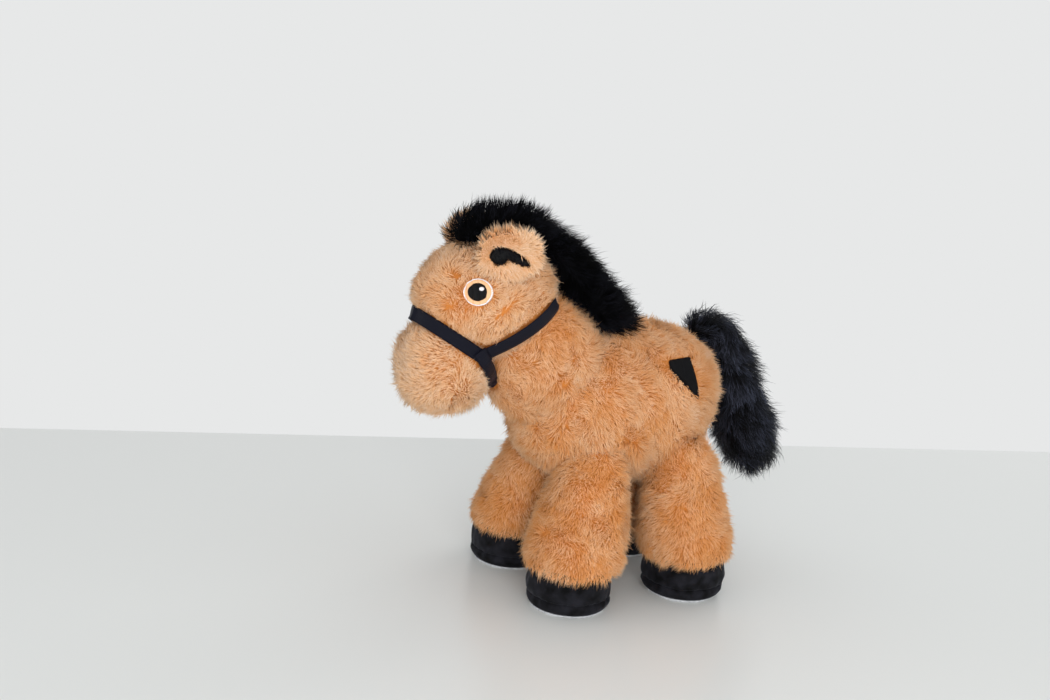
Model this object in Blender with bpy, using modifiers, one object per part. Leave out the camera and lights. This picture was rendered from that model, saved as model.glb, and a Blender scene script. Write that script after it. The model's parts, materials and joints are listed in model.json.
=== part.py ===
"""Plush toy horse, standing, with a ribbon halter, a long black mane and tail and velvet hooves.

The horse faces -X and stands on the plane z = 0. Every stuffed form is a closed loft that swells
and tapers, and the smaller forms are cut by the larger ones that they are sewn to.
"""
import math

import bmesh
import bpy
import numpy as np
from mathutils import Matrix, Vector
from mathutils.bvhtree import BVHTree

# Stuffed forms
TORSO_LENGTH = 0.188
TORSO_WIDTH = 0.126
TORSO_HEIGHT = 0.135
NECK_LENGTH = 0.110
NECK_DEPTH = 0.104
NECK_WIDTH = 0.096
NECK_ANGLE = math.radians(54)
HEAD_LENGTH = 0.114
HEAD_WIDTH = 0.100
HEAD_HEIGHT = 0.100
MUZZLE_LENGTH = 0.076
MUZZLE_WIDTH = 0.080
MUZZLE_HEIGHT = 0.082

# Legs, hooves and soles
HIP_HEIGHT = 0.113
HIP_DIAMETER = 0.064
HIP_WALL = 0.0045
FUR_OVERHANG = 0.0095
HEM_HEIGHT = 0.028
LEG_GAP = 0.024
LEG_SIDE_GAP = 0.016
FRONT_STEP = 0.025
REAR_STEP = 0.008
HOOF_DIAMETER = 0.070
HOOF_HEIGHT = 0.042
SOLE_DIAMETER = 0.061
SOLE_THICKNESS = 0.0020

# Mane, tail and ears
MANE_PILE = 0.018
MANE_WIDTH = 0.068
FORELOCK_WIDTH = 0.044
TAIL_LENGTH = 0.172
TAIL_DIAMETER = 0.048
TAIL_ROOT_DIAMETER = 0.036
EAR_WIDTH = 0.052
EAR_HEIGHT = 0.042
EAR_THICKNESS = 0.014
EAR_ROLL_DIAMETER = 0.013
EAR_LEAN = math.radians(10)
EAR_FORWARD = math.radians(15)
EAR_CUP_DEPTH = 0.0045
EAR_MARK_LENGTH = 0.028
EAR_MARK_HEIGHT = 0.015

# Halter ribbon, embroidery and rump label
RIBBON_WIDTH = 0.0095
RIBBON_THICKNESS = 0.0010
RIBBON_FOLD = 0.012
STITCH_THICKNESS = 0.0010
EYE_DIAMETER = 0.0240
EYE_WHITE_WIDTH = 0.0017
PUPIL_DIAMETER = 0.0160
GLINT_DIAMETER = 0.0042
LABEL_WIDTH = 0.026
LABEL_HEIGHT = 0.037
LABEL_THICKNESS = 0.0010

# Clearances: sewn seats, creases beside a moving piece, and how far a cutter runs past its work.
# Points closer than the merge distance become one.
SEAT_GAP = 0.0003
TURN_GAP = 0.0005
CREASE = 0.0012
HALTER_CREASE = 0.0022
OVERRUN = 0.100
MERGE_DISTANCE = 0.00001

# How far the moving pieces turn, in degrees about their own axes
NOD_DOWN = 8
NOD_UP = 6
LEG_OUT = 12
LEG_IN = 6
TAIL_SWING = 20
EAR_OUT = 20
EAR_IN = 5

X_AXIS = Vector((1, 0, 0))
Y_AXIS = Vector((0, 1, 0))
Z_AXIS = Vector((0, 0, 1))
SIDES = {"left": -1, "right": 1}
ENDS = {"front": -1, "rear": 1}
SMOOTH_ANGLE = math.radians(40)


def clear_scene():
    for old in list(bpy.data.objects):
        bpy.data.objects.remove(old, do_unlink=True)


def new_collection(name):
    group = bpy.data.collections.new(name)
    bpy.context.scene.collection.children.link(group)
    return group


clear_scene()
HORSE = new_collection("plush_horse")
CUTTERS = new_collection("cutters")


def linear(channel):
    """One sRGB channel as linear light."""
    low = channel / 12.92
    high = ((channel + 0.055) / 1.055) ** 2.4
    return low if channel <= 0.04045 else high


def material(name, hex_colour, roughness):
    """Principled material with a plain colour written as sRGB hex."""
    if name in bpy.data.materials:
        return bpy.data.materials[name]
    made = bpy.data.materials.new(name)
    made.use_nodes = True
    shader = made.node_tree.nodes["Principled BSDF"]
    channels = [linear(int(hex_colour[i : i + 2], 16) / 255) for i in (0, 2, 4)]
    shader.inputs["Base Color"].default_value = (*channels, 1.0)
    shader.inputs["Roughness"].default_value = roughness
    shader.inputs["Metallic"].default_value = 0.0
    return made


def tan_plush():
    return material("tan_plush_fur", "D39A60", 0.95)


def black_pile():
    return material("black_long_pile", "17161A", 0.85)


def black_velvet():
    return material("black_velvet", "1B1A1D", 0.90)


def sole_felt():
    return material("grey_sole_felt", "B9BBBD", 0.90)


def black_ribbon():
    return material("black_satin_ribbon", "1A1B20", 0.45)


def black_thread():
    return material("black_embroidery_thread", "141317", 0.55)


def white_thread():
    return material("white_embroidery_thread", "EFEDEA", 0.55)


def amber_thread():
    return material("amber_embroidery_thread", "E0A470", 0.55)


def label_weave():
    return material("black_woven_label", "121214", 0.60)


def link(name, mesh, collection):
    made = bpy.data.objects.new(name, mesh)
    collection.objects.link(made)
    if collection is CUTTERS:
        made.hide_render = True
        made.display_type = "WIRE"
    return made


SPINE_STEP_SHARE = 0.01


def through(points, t):
    """Smooth curve through evenly spaced points, read at shares t of its length (Catmull-Rom)."""
    known = np.asarray(points, float)
    if known.ndim == 1:
        known = known[:, None]
    ends = np.vstack([2 * known[0] - known[1], known, 2 * known[-1] - known[-2]])
    place = np.clip(np.asarray(t, float), 0, 1) * (len(known) - 1)
    first = np.minimum(place.astype(int), len(known) - 2)
    u = (place - first)[:, None]
    a, b, c, d = (ends[first + k] for k in range(4))
    return 0.5 * (2 * b + (c - a) * u + (2 * a - 5 * b + 4 * c - d) * u**2 + (3 * b - a - 3 * c + d) * u**3)


def swelling_form(name, spine, wide, deep, rings, sides, roundness=(2.4, 2.4), level=False):
    """Closed loft of elliptical rings along a curved spine.

    Ring k lies at t = (1 - cos(pi k / rings)) / 2 of the spine. Its half width and half depth come
    from the two lists, times (1 - |2t - 1| ** p) ** (1 / p), where p is the roundness of the nearer
    end. Level rings lie flat; the others stand square to the spine.
    """
    turn = math.pi * np.arange(rings + 1) / rings
    t = (1 - np.cos(turn)) / 2
    power = np.where(t < 0.5, roundness[0], roundness[1])
    taper = np.clip(1 - np.abs(2 * t - 1) ** power, 0, 1) ** (1 / power)
    centre = through(spine, t)
    ahead = through(spine, t + SPINE_STEP_SHARE) - through(spine, t - SPINE_STEP_SHARE)
    ahead /= np.linalg.norm(ahead, axis=1)[:, None]
    across = np.tile(np.array(Y_AXIS), (rings + 1, 1))
    upward = np.cross(ahead, across)
    upward /= np.linalg.norm(upward, axis=1)[:, None]
    if level:
        upward = np.tile(np.array(X_AXIS), (rings + 1, 1))
    half_wide = (through(wide, t)[:, 0] * taper)[:, None, None]
    half_deep = (through(deep, t)[:, 0] * taper)[:, None, None]
    angle = 2 * math.pi * np.arange(sides) / sides
    side_part = np.cos(angle)[None, :, None] * across[:, None, :] * half_wide
    up_part = np.sin(angle)[None, :, None] * upward[:, None, :] * half_deep
    ring_points = centre[:, None, :] + side_part + up_part
    shape = bmesh.new()
    loops = [[shape.verts.new(centre[0])]]
    for ring in ring_points[1:-1]:
        loops.append([shape.verts.new(point) for point in ring])
    loops.append([shape.verts.new(centre[-1])])
    for low, high in zip(loops, loops[1:]):
        for k in range(sides):
            after = (k + 1) % sides
            corners = [low[k % len(low)], low[after % len(low)], high[after % len(high)], high[k % len(high)]]
            shape.faces.new(list(dict.fromkeys(corners)))
    bmesh.ops.triangulate(shape, faces=shape.faces[:])
    bmesh.ops.recalc_face_normals(shape, faces=shape.faces[:])
    mesh = bpy.data.meshes.new(name)
    shape.to_mesh(mesh)
    shape.free()
    return link(name, mesh, CUTTERS)


def ball(name, centre, radius, axis, segments=24, rings=9):
    """Sphere whose poles lie on the axis that it turns about."""
    shape = bmesh.new()
    bmesh.ops.create_uvsphere(shape, u_segments=segments, v_segments=rings, radius=radius)
    turn = Z_AXIS.rotation_difference(axis).to_matrix().to_4x4()
    bmesh.ops.transform(shape, matrix=Matrix.Translation(centre) @ turn, verts=shape.verts[:])
    mesh = bpy.data.meshes.new(name)
    shape.to_mesh(mesh)
    shape.free()
    return link(name, mesh, CUTTERS)


def rod(name, centre, radius, length, axis, segments=20):
    """Cylinder with its middle at centre."""
    shape = bmesh.new()
    bmesh.ops.create_cone(
        shape, cap_ends=True, segments=segments, radius1=radius, radius2=radius, depth=length
    )
    turn = Z_AXIS.rotation_difference(axis).to_matrix().to_4x4()
    bmesh.ops.transform(shape, matrix=Matrix.Translation(centre) @ turn, verts=shape.verts[:])
    mesh = bpy.data.meshes.new(name)
    shape.to_mesh(mesh)
    shape.free()
    return link(name, mesh, CUTTERS)


def block(name, centre, size, turn=None):
    """Box of the given size, turned about its middle."""
    shape = bmesh.new()
    bmesh.ops.create_cube(shape, size=1)
    scale = Matrix.Diagonal((*size, 1))
    place = Matrix.Translation(centre) @ (turn or Matrix.Identity(4)) @ scale
    bmesh.ops.transform(shape, matrix=place, verts=shape.verts[:])
    mesh = bpy.data.meshes.new(name)
    shape.to_mesh(mesh)
    shape.free()
    return link(name, mesh, CUTTERS)


def swollen(form, by):
    """Copy of a form with its surface moved outwards, or inwards where by is negative."""
    shape = bmesh.new()
    shape.from_mesh(form.data)
    shape.normal_update()
    moved = [point.co + point.normal * by for point in shape.verts]
    for point, place in zip(shape.verts, moved):
        point.co = place
    mesh = bpy.data.meshes.new(form.name + "_swollen")
    shape.to_mesh(mesh)
    shape.free()
    return link(form.name + "_swollen", mesh, CUTTERS)


def turned(form, pivot, axis, degrees):
    """The form turned about an axis through the pivot."""
    turn = Matrix.Rotation(math.radians(degrees), 4, axis)
    form.data.transform(Matrix.Translation(pivot) @ turn @ Matrix.Translation(-pivot))
    return form


def combine(form, other, operation):
    """Boolean of two forms, written into the first; the second stays as a cutter."""
    step = form.modifiers.new(operation, "BOOLEAN")
    step.operation = operation
    step.solver = "EXACT"
    step.object = other
    seen = form.evaluated_get(bpy.context.evaluated_depsgraph_get())
    result = bpy.data.meshes.new_from_object(seen)
    form.modifiers.clear()
    form.data = result
    return form


def cut(form, *others):
    for other in others:
        combine(form, other, "DIFFERENCE")
    return form


def join(form, *others):
    for other in others:
        combine(form, other, "UNION")
    return form


def keep_inside(form, other):
    return combine(form, other, "INTERSECT")


def copy_of(form, name):
    return link(name, form.data.copy(), CUTTERS)


def swept(form, by, pivot, axis, angles):
    """Copies of a swollen form, one at each angle that a joint reaches."""
    return [turned(swollen(form, by), pivot, axis, degrees) for degrees in angles]


def hinge(name, place):
    """Empty on a joint's axis, which carries the pieces that move with it."""
    carrier = bpy.data.objects.new(name, None)
    HORSE.objects.link(carrier)
    carrier.location = place
    return carrier


def finish(form, name, look, carrier):
    """Names a piece, puts its origin on the joint that carries it and gives it its material."""
    piece = bpy.data.objects.new(name, form.data.copy())
    HORSE.objects.link(piece)
    piece.data.name = name
    piece.data.transform(Matrix.Translation(-carrier.location))
    piece.parent = carrier
    piece.data.materials.clear()
    piece.data.materials.append(look)
    piece.data.shade_smooth()
    piece.data.set_sharp_from_angle(angle=SMOOTH_ANGLE)
    return piece


def finish_pair(form, stem, look, carriers):
    """Finishes a left piece and its mirror image on the right."""
    finish(form, stem + "_left", look, carriers["left"])
    other = copy_of(form, stem)
    other.data.transform(Matrix.Diagonal((1, -1, 1, 1)))
    other.data.flip_normals()
    finish(other, stem + "_right", look, carriers["right"])


def at(origin, size, share):
    """Point at shares of a carrier's length and height from its middle, in the middle plane."""
    return Vector((origin.x + share[0] * size[0], 0, origin.z + share[1] * size[1]))


# Torso, whose middle is at x = 0 until the whole horse is centred
TORSO_RISE_SHARE = 0.33
TORSO_CENTRE = Vector((0, 0, HIP_HEIGHT + TORSO_RISE_SHARE * TORSO_HEIGHT))
TORSO_SPINE_SHARES = ((-0.5, 0.04), (-0.25, 0.01), (0, 0), (0.25, 0.005), (0.5, -0.08))
TORSO_WIDE_SHARES = (0.94, 1.0, 0.98, 0.96, 0.82)
TORSO_DEEP_SHARES = (0.96, 0.98, 1.0, 1.01, 0.94)
TORSO_SIZE = (TORSO_LENGTH, TORSO_HEIGHT)


def torso_form():
    spine = [at(TORSO_CENTRE, TORSO_SIZE, share) for share in TORSO_SPINE_SHARES]
    wide = [share * TORSO_WIDTH / 2 for share in TORSO_WIDE_SHARES]
    deep = [share * TORSO_HEIGHT / 2 for share in TORSO_DEEP_SHARES]
    return swelling_form("torso_form", spine, wide, deep, 12, 24, (2.6, 2.8))


# Neck, from inside the torso to inside the head, with the head's joint near its top
NECK_BASE_SHARE = (-0.213, 0.0)
NECK_BASE = at(TORSO_CENTRE, TORSO_SIZE, NECK_BASE_SHARE)
NECK_AHEAD = Vector((-math.cos(NECK_ANGLE), 0, math.sin(NECK_ANGLE)))
NECK_TOP = NECK_BASE + NECK_AHEAD * NECK_LENGTH
NECK_HOLLOW_SHARE = 0.025
HEAD_JOINT_SHARE = 0.875
HEAD_JOINT = NECK_BASE + NECK_AHEAD * NECK_LENGTH * HEAD_JOINT_SHARE
NECK_WIDE_SHARES = (1.10, 1.02, 0.88)
NECK_DEEP_SHARES = (1.10, 1.02, 0.88)
HEAD_SEAT_SHARE = 0.33
HEAD_SEAT_RADIUS = HEAD_SEAT_SHARE * HEAD_WIDTH


def neck_form():
    sag = Vector((-math.sin(NECK_ANGLE), 0, -math.cos(NECK_ANGLE))) * NECK_HOLLOW_SHARE * NECK_LENGTH
    spine = [NECK_BASE, (NECK_BASE + NECK_TOP) / 2 + sag, NECK_TOP]
    wide = [share * NECK_WIDTH / 2 for share in NECK_WIDE_SHARES]
    deep = [share * NECK_DEPTH / 2 for share in NECK_DEEP_SHARES]
    return swelling_form("neck_form", spine, wide, deep, 8, 20, (2.3, 3.0))


# Head and muzzle
HEAD_OFFSET_SHARE = (-0.307, 0.14)
HEAD_SIZE = (HEAD_LENGTH, HEAD_HEIGHT)
HEAD_CENTRE = at(HEAD_JOINT, HEAD_SIZE, HEAD_OFFSET_SHARE)
HEAD_SPINE_SHARES = ((0.5, 0.0), (0.25, 0.01), (0, 0), (-0.25, -0.01), (-0.5, 0.0))
HEAD_WIDE_SHARES = (0.98, 1.0, 1.0, 0.94, 0.86)
HEAD_DEEP_SHARES = (0.96, 1.0, 1.0, 0.96, 0.90)
MUZZLE_OFFSET_SHARE = (-0.27, -0.57)
MUZZLE_CENTRE = at(HEAD_CENTRE, HEAD_SIZE, MUZZLE_OFFSET_SHARE)


def head_form():
    spine = [at(HEAD_CENTRE, HEAD_SIZE, share) for share in HEAD_SPINE_SHARES]
    wide = [share * HEAD_WIDTH / 2 for share in HEAD_WIDE_SHARES]
    deep = [share * HEAD_HEIGHT / 2 for share in HEAD_DEEP_SHARES]
    return swelling_form("head_form", spine, wide, deep, 12, 22, (2.4, 2.3))


def muzzle_form():
    reach = X_AXIS * MUZZLE_LENGTH / 2
    spine = [MUZZLE_CENTRE + reach, MUZZLE_CENTRE, MUZZLE_CENTRE - reach]
    wide = [MUZZLE_WIDTH / 2] * 3
    deep = [MUZZLE_HEIGHT / 2] * 3
    return swelling_form("muzzle_form", spine, wide, deep, 9, 18, (2.2, 2.2))


# Legs: a round top that turns in the torso, widening to a fur hem that hangs over the hoof
LEG_FLARE = HOOF_DIAMETER + 2 * FUR_OVERHANG
HIP_RADIUS = HIP_DIAMETER / 2
HIP_SIDE = HIP_RADIUS + HIP_WALL
HEM_SIDE = (LEG_FLARE + LEG_SIDE_GAP) / 2
STANCE = LEG_FLARE + LEG_GAP
STEPS = {"front": FRONT_STEP, "rear": REAR_STEP}
LEG_RANGES = {"front": (-LEG_IN, LEG_OUT), "rear": (-LEG_OUT, LEG_IN)}
LEG_TOP_SHARE = 0.35
LEG_SWELL_SHARES = (-0.15, 0.08, 0.60, 0.97)


def hem_place(end, side):
    return Vector((ENDS[end] * STANCE / 2, SIDES[side] * HEM_SIDE, 0))


def hip_place(end, side):
    hem = hem_place(end, side)
    return Vector((hem.x - ENDS[end] * STEPS[end], SIDES[side] * HIP_SIDE, HIP_HEIGHT))


def leg_form(end, side):
    hip = hip_place(end, side)
    hem = hem_place(end, side)
    top = hip + Z_AXIS * HIP_RADIUS * LEG_TOP_SHARE
    bottom = Vector((hem.x, hem.y, HEM_HEIGHT))
    spine = [top, top.lerp(bottom, 1 / 3), top.lerp(bottom, 2 / 3), bottom]
    flare = LEG_FLARE / 2
    radii = [HIP_RADIUS + (flare - HIP_RADIUS) * share for share in LEG_SWELL_SHARES]
    return swelling_form("leg_form", spine, radii, radii, 9, 18, (6.0, 7.0), level=True)


# Hoof, a turned cushion of velvet with a sewn welt near its foot
HOOF_STEPS = 20
HOOF_PROFILE_SHARES = (
    (0.62, 1.00),
    (0.86, 0.95),
    (0.95, 0.82),
    (1.00, 0.55),
    (1.00, 0.34),
    (0.965, 0.235),
    (0.985, 0.19),
    (0.95, 0.08),
    (0.89, 0.0),
)


def hoof_form(end, side):
    hem = hem_place(end, side)
    foot = SOLE_THICKNESS + SEAT_GAP
    rise = HOOF_HEIGHT - foot
    radius = HOOF_DIAMETER / 2
    profile = [(0, HOOF_HEIGHT)]
    profile += [(share[0] * radius, foot + share[1] * rise) for share in HOOF_PROFILE_SHARES]
    profile += [(0, foot)]
    mesh = bpy.data.meshes.new("hoof_form")
    points = [(reach, 0, height) for reach, height in profile]
    mesh.from_pydata(points, [(k, k + 1) for k in range(len(points) - 1)], [])
    form = link("hoof_form", mesh, CUTTERS)
    spin = form.modifiers.new("turn", "SCREW")
    spin.steps = HOOF_STEPS
    spin.render_steps = HOOF_STEPS
    spin.use_merge_vertices = True
    spin.merge_threshold = MERGE_DISTANCE
    seen = form.evaluated_get(bpy.context.evaluated_depsgraph_get())
    solid = bpy.data.meshes.new_from_object(seen)
    form.modifiers.clear()
    form.data = solid
    form.data.transform(Matrix.Translation((hem.x, hem.y, 0)))
    return form


# Tail, hung from a round root in the rump
TAIL_ROOT_SHARE = (0.36, 0.43)
TAIL_ROOT = at(TORSO_CENTRE, TORSO_SIZE, TAIL_ROOT_SHARE)
TAIL_ROUTE_SHARES = (
    (0, 0),
    (0.116, 0.020),
    (0.227, -0.056),
    (0.308, -0.219),
    (0.378, -0.399),
    (0.471, -0.579),
    (0.576, -0.736),
)
TAIL_WIDTH_SHARES = (0.70, 0.72, 0.80, 0.92, 1.02, 1.12, 1.10)


def tail_form():
    size = (TAIL_LENGTH, TAIL_LENGTH)
    spine = [at(TAIL_ROOT, size, share) for share in TAIL_ROUTE_SHARES]
    radii = [share * TAIL_DIAMETER / 2 for share in TAIL_WIDTH_SHARES]
    return swelling_form("tail_form", spine, radii, radii, 13, 16, (4.6, 3.4))


# Mane, in two lengths that part where the head nods
FORELOCK_ROUTE_SHARES = ((-0.27, 0.44), (-0.14, 0.53), (0.07, 0.56), (0.33, 0.53), (0.52, 0.37))
FORELOCK_WIDE_SHARES = (0.62, 0.92, 1.0, 1.0, 1.0)
FORELOCK_DEEP_SHARES = (0.80, 0.98, 1.0, 1.05, 1.05)
CREST_ROUTE_SHARES = ((0.08, 0.56), (0.23, 0.465), (0.43, 0.26), (0.61, 0.06), (0.80, -0.055), (0.97, -0.09))
CREST_WIDE_SHARES = (0.80, 0.92, 1.0, 1.0, 0.86, 0.62)
CREST_DEEP_SHARES = (1.0, 1.05, 1.10, 1.10, 1.05, 0.90)
MANE_PARTING = math.radians(72)
MANE_PARTING_SLACK = math.radians(1.5)


def forelock_form():
    spine = [at(HEAD_CENTRE, HEAD_SIZE, share) for share in FORELOCK_ROUTE_SHARES]
    wide = [share * FORELOCK_WIDTH / 2 for share in FORELOCK_WIDE_SHARES]
    deep = [share * MANE_PILE for share in FORELOCK_DEEP_SHARES]
    return swelling_form("forelock_form", spine, wide, deep, 10, 16, (2.4, 3.0))


def crest_form():
    size = (NECK_LENGTH, NECK_LENGTH)
    spine = [at(HEAD_JOINT, size, share) for share in CREST_ROUTE_SHARES]
    wide = [share * MANE_WIDTH / 2 for share in CREST_WIDE_SHARES]
    deep = [share * MANE_PILE for share in CREST_DEEP_SHARES]
    return swelling_form("crest_form", spine, wide, deep, 12, 16, (3.0, 2.4))


def parting_block(angle, past):
    """Block whose one face is the plane through the head's joint at the angle; past picks its side."""
    outward = Vector((math.cos(angle), 0, math.sin(angle)))
    sideways = Vector((math.sin(angle), 0, -math.cos(angle))) * past
    turn = Matrix.Rotation(-angle, 4, Y_AXIS)
    middle = HEAD_JOINT + outward * OVERRUN + sideways * OVERRUN
    return block("parting", middle, (3 * OVERRUN, 2 * OVERRUN, 2 * OVERRUN), turn)


# Ears: a cupped pad on a roll that turns in a groove of the head
EAR_SEAT_SHARE = (0.026, 0.40, 0.29)
EAR_RISE_SHARE = 0.40
EAR_ROLL_SHARE = 0.56
EAR_CUP_SHARES = (0.50, 0.43)
EAR_CUP_BULGE_SHARE = 0.64


def ear_axis_place(side):
    share_x, share_y, share_z = EAR_SEAT_SHARE
    return HEAD_CENTRE + Vector(
        (share_x * HEAD_LENGTH, SIDES[side] * share_y * HEAD_WIDTH, share_z * HEAD_HEIGHT)
    )


def ear_turn(side):
    """An ear leans outwards and faces a little ahead."""
    facing = Matrix.Rotation(SIDES[side] * EAR_FORWARD, 4, Z_AXIS)
    return facing @ Matrix.Rotation(-SIDES[side] * EAR_LEAN, 4, X_AXIS)


def ear_axis(side):
    """Direction of the seam that an ear folds on, from its front to its rear."""
    return Matrix.Rotation(SIDES[side] * EAR_FORWARD, 3, Z_AXIS) @ X_AXIS


def ear_frame(side):
    """Middle of the pad, with its upward and outward directions."""
    turn = ear_turn(side)
    upward = turn @ Z_AXIS
    outward = turn @ (Y_AXIS * SIDES[side])
    return ear_axis_place(side) + upward * EAR_HEIGHT * EAR_RISE_SHARE, upward, outward


def ear_pad(side):
    middle, _, _ = ear_frame(side)
    reach = X_AXIS * EAR_WIDTH / 2
    spine = [-reach, Vector(), reach]
    form = swelling_form("ear_form", spine, [EAR_THICKNESS / 2] * 3, [EAR_HEIGHT / 2] * 3, 12, 18, (2.2, 2.2))
    form.data.transform(Matrix.Translation(middle) @ ear_turn(side))
    return form


def ear_cup(side, inset=0.0):
    """Ellipsoid that hollows the outer face of an ear, or that face drawn in by inset."""
    middle, upward, outward = ear_frame(side)
    half_x = EAR_CUP_SHARES[0] * EAR_WIDTH - inset
    half_z = EAR_CUP_SHARES[1] * EAR_HEIGHT - inset
    bulge = EAR_CUP_BULGE_SHARE * EAR_THICKNESS
    shape = bmesh.new()
    bmesh.ops.create_uvsphere(shape, u_segments=20, v_segments=10, radius=1)
    push = EAR_THICKNESS / 2 + bulge - EAR_CUP_DEPTH
    place = Matrix.Translation(middle + outward * push) @ ear_turn(side)
    scale = Matrix.Diagonal((half_x, bulge - inset, half_z, 1))
    bmesh.ops.transform(shape, matrix=place @ scale, verts=shape.verts[:])
    mesh = bpy.data.meshes.new("ear_cup")
    shape.to_mesh(mesh)
    shape.free()
    return link("ear_cup", mesh, CUTTERS)


# Straps: a band is the part of a thin shell over the head and muzzle that lies inside a slab
HALTER_JOINT_SHARE = (-0.075, -0.40)
NOSE_SHARE = (-0.51, -0.12)
CHIN_SHARE = (0.165, -0.74)
CHEEK_END_SHARE = (0.37, -0.03)


def build_horse():
    torso = torso_form()
    neck = neck_form()
    head = head_form()
    muzzle = muzzle_form()
    body = hinge("body", Vector((0, 0, 0)))
    head_hinge = hinge("head_hinge", HEAD_JOINT)
    build_torso_and_neck(torso, neck, head, muzzle, body)
    build_head(head, muzzle, head_hinge)
    build_halter(head, muzzle, head_hinge)
    for side in SIDES:
        build_eye(head, side, head_hinge)
    build_ears(head)
    for end in ENDS:
        build_legs(torso, end)
    build_mane(torso, neck, head, body, head_hinge)
    build_tail(torso)
    build_label(torso, body)


def nod_angles():
    return (-NOD_DOWN, 0, NOD_UP)


def build_torso_and_neck(torso, neck, head, muzzle, body):
    shell = copy_of(torso, "torso_cut")
    for end in ENDS:
        for side in SIDES:
            cut(shell, ball("hip_socket", hip_place(end, side), HIP_RADIUS + TURN_GAP, Y_AXIS))
    cut(shell, ball("tail_socket", TAIL_ROOT, TAIL_ROOT_DIAMETER / 2 + TURN_GAP, X_AXIS))
    finish(shell, "torso", tan_plush(), body)
    collar = copy_of(neck, "neck_cut")
    cut(collar, swollen(torso, SEAT_GAP))
    cut(collar, *swept(head, HALTER_CREASE, HEAD_JOINT, Y_AXIS, nod_angles()))
    cut(collar, *swept(muzzle, HALTER_CREASE, HEAD_JOINT, Y_AXIS, nod_angles()))
    join(collar, ball("head_seat", HEAD_JOINT, HEAD_SEAT_RADIUS, Y_AXIS))
    finish(collar, "neck", tan_plush(), body)


def build_head(head, muzzle, head_hinge):
    skull = copy_of(head, "head_cut")
    cut(skull, ball("head_socket", HEAD_JOINT, HEAD_SEAT_RADIUS + TURN_GAP, Y_AXIS))
    for side in SIDES:
        cut(skull, ear_roll(side, TURN_GAP))
    finish(skull, "head", tan_plush(), head_hinge)
    nose = copy_of(muzzle, "muzzle_cut")
    cut(nose, swollen(head, SEAT_GAP))
    finish(nose, "muzzle", tan_plush(), head_hinge)


def direction_turn(start, stop):
    """Turn about Y that carries +X onto the direction from start to stop."""
    ahead = stop - start
    return Matrix.Rotation(-math.atan2(ahead.z, ahead.x), 4, Y_AXIS)


def strap_block(start, stop, width, side=0):
    """Slab along a strap, as wide as the ribbon; side keeps it to one half of the horse."""
    length = (stop - start).length
    depth = OVERRUN if side else 2 * OVERRUN
    middle = (start + stop) / 2 + Y_AXIS * side * OVERRUN / 2
    return block("strap", middle, (length, depth, width), direction_turn(start, stop))


def build_halter(head, muzzle, head_hinge):
    inner = join(swollen(head, SEAT_GAP), swollen(muzzle, SEAT_GAP))
    thick = SEAT_GAP + RIBBON_THICKNESS
    outer = join(swollen(head, thick), swollen(muzzle, thick))
    joint = at(HEAD_CENTRE, HEAD_SIZE, HALTER_JOINT_SHARE)
    nose = at(HEAD_CENTRE, HEAD_SIZE, NOSE_SHARE)
    chin = at(HEAD_CENTRE, HEAD_SIZE, CHIN_SHARE)
    cheek_end = at(HEAD_CENTRE, HEAD_SIZE, CHEEK_END_SHARE)
    nose_past = nose + (nose - joint).normalized() * RIBBON_FOLD
    chin_past = chin + (chin - joint).normalized() * RIBBON_FOLD
    fold_half = (chin - joint).normalized() * RIBBON_FOLD / 2
    gap_half = fold_half.normalized() * (RIBBON_FOLD / 2 + SEAT_GAP)

    def band(slab, name):
        keep_inside(slab, outer)
        cut(slab, inner)
        if "fold" not in name:
            cut(slab, strap_block(joint - gap_half, joint + gap_half, RIBBON_FOLD + 2 * SEAT_GAP))
        finish(slab, name, black_ribbon(), head_hinge)

    band(strap_block(joint, nose_past, RIBBON_WIDTH), "halter_noseband")
    band(strap_block(joint, chin_past, RIBBON_WIDTH), "halter_chin_strap")
    for side, sign in SIDES.items():
        band(strap_block(joint, cheek_end, RIBBON_WIDTH, sign), "halter_cheek_strap_" + side)
        fold = strap_block(joint - fold_half, joint + fold_half, RIBBON_FOLD, sign)
        band(fold, "halter_fold_" + side)


# Eyes: rings of thread laid on the head
EYE_SHARE = (-0.21, 0.13)
GLINT_SHARE = (0.22, 0.19)


def surface_place(form, aim, side):
    """Point and outward direction where a line along Y meets the form on one side."""
    tree = BVHTree.FromPolygons([v.co for v in form.data.vertices], [p.vertices for p in form.data.polygons])
    start = aim + Y_AXIS * SIDES[side] * 2 * OVERRUN
    place, facing, _, _ = tree.ray_cast(start, -Y_AXIS * SIDES[side])
    return place, facing


def build_eye(head, side, head_hinge):
    centre, facing = surface_place(head, at(HEAD_CENTRE, HEAD_SIZE, EYE_SHARE), side)
    glint_aim = centre + X_AXIS * GLINT_SHARE[0] * PUPIL_DIAMETER + Z_AXIS * GLINT_SHARE[1] * PUPIL_DIAMETER
    inner = swollen(head, SEAT_GAP)
    outer = swollen(head, SEAT_GAP + STITCH_THICKNESS)

    def disc(diameter, middle):
        return rod("eye_disc", middle, diameter / 2, HEAD_WIDTH / 2, facing, 20)

    def laid(name, diameter, hole, middle, hole_middle, thread):
        piece = keep_inside(disc(diameter, middle), outer)
        cut(piece, inner)
        if hole:
            cut(piece, disc(hole, hole_middle))
        finish(piece, name + "_" + side, thread, head_hinge)

    white_hole = EYE_DIAMETER - 2 * EYE_WHITE_WIDTH
    iris = white_hole - 2 * SEAT_GAP
    laid("eye_white_ring", EYE_DIAMETER, white_hole, centre, centre, white_thread())
    laid("eye_iris_ring", iris, PUPIL_DIAMETER + 2 * SEAT_GAP, centre, centre, amber_thread())
    glint_hole = GLINT_DIAMETER + 2 * SEAT_GAP
    laid("eye_pupil", PUPIL_DIAMETER, glint_hole, centre, glint_aim, black_thread())
    laid("eye_glint", GLINT_DIAMETER, 0, glint_aim, glint_aim, white_thread())


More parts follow.
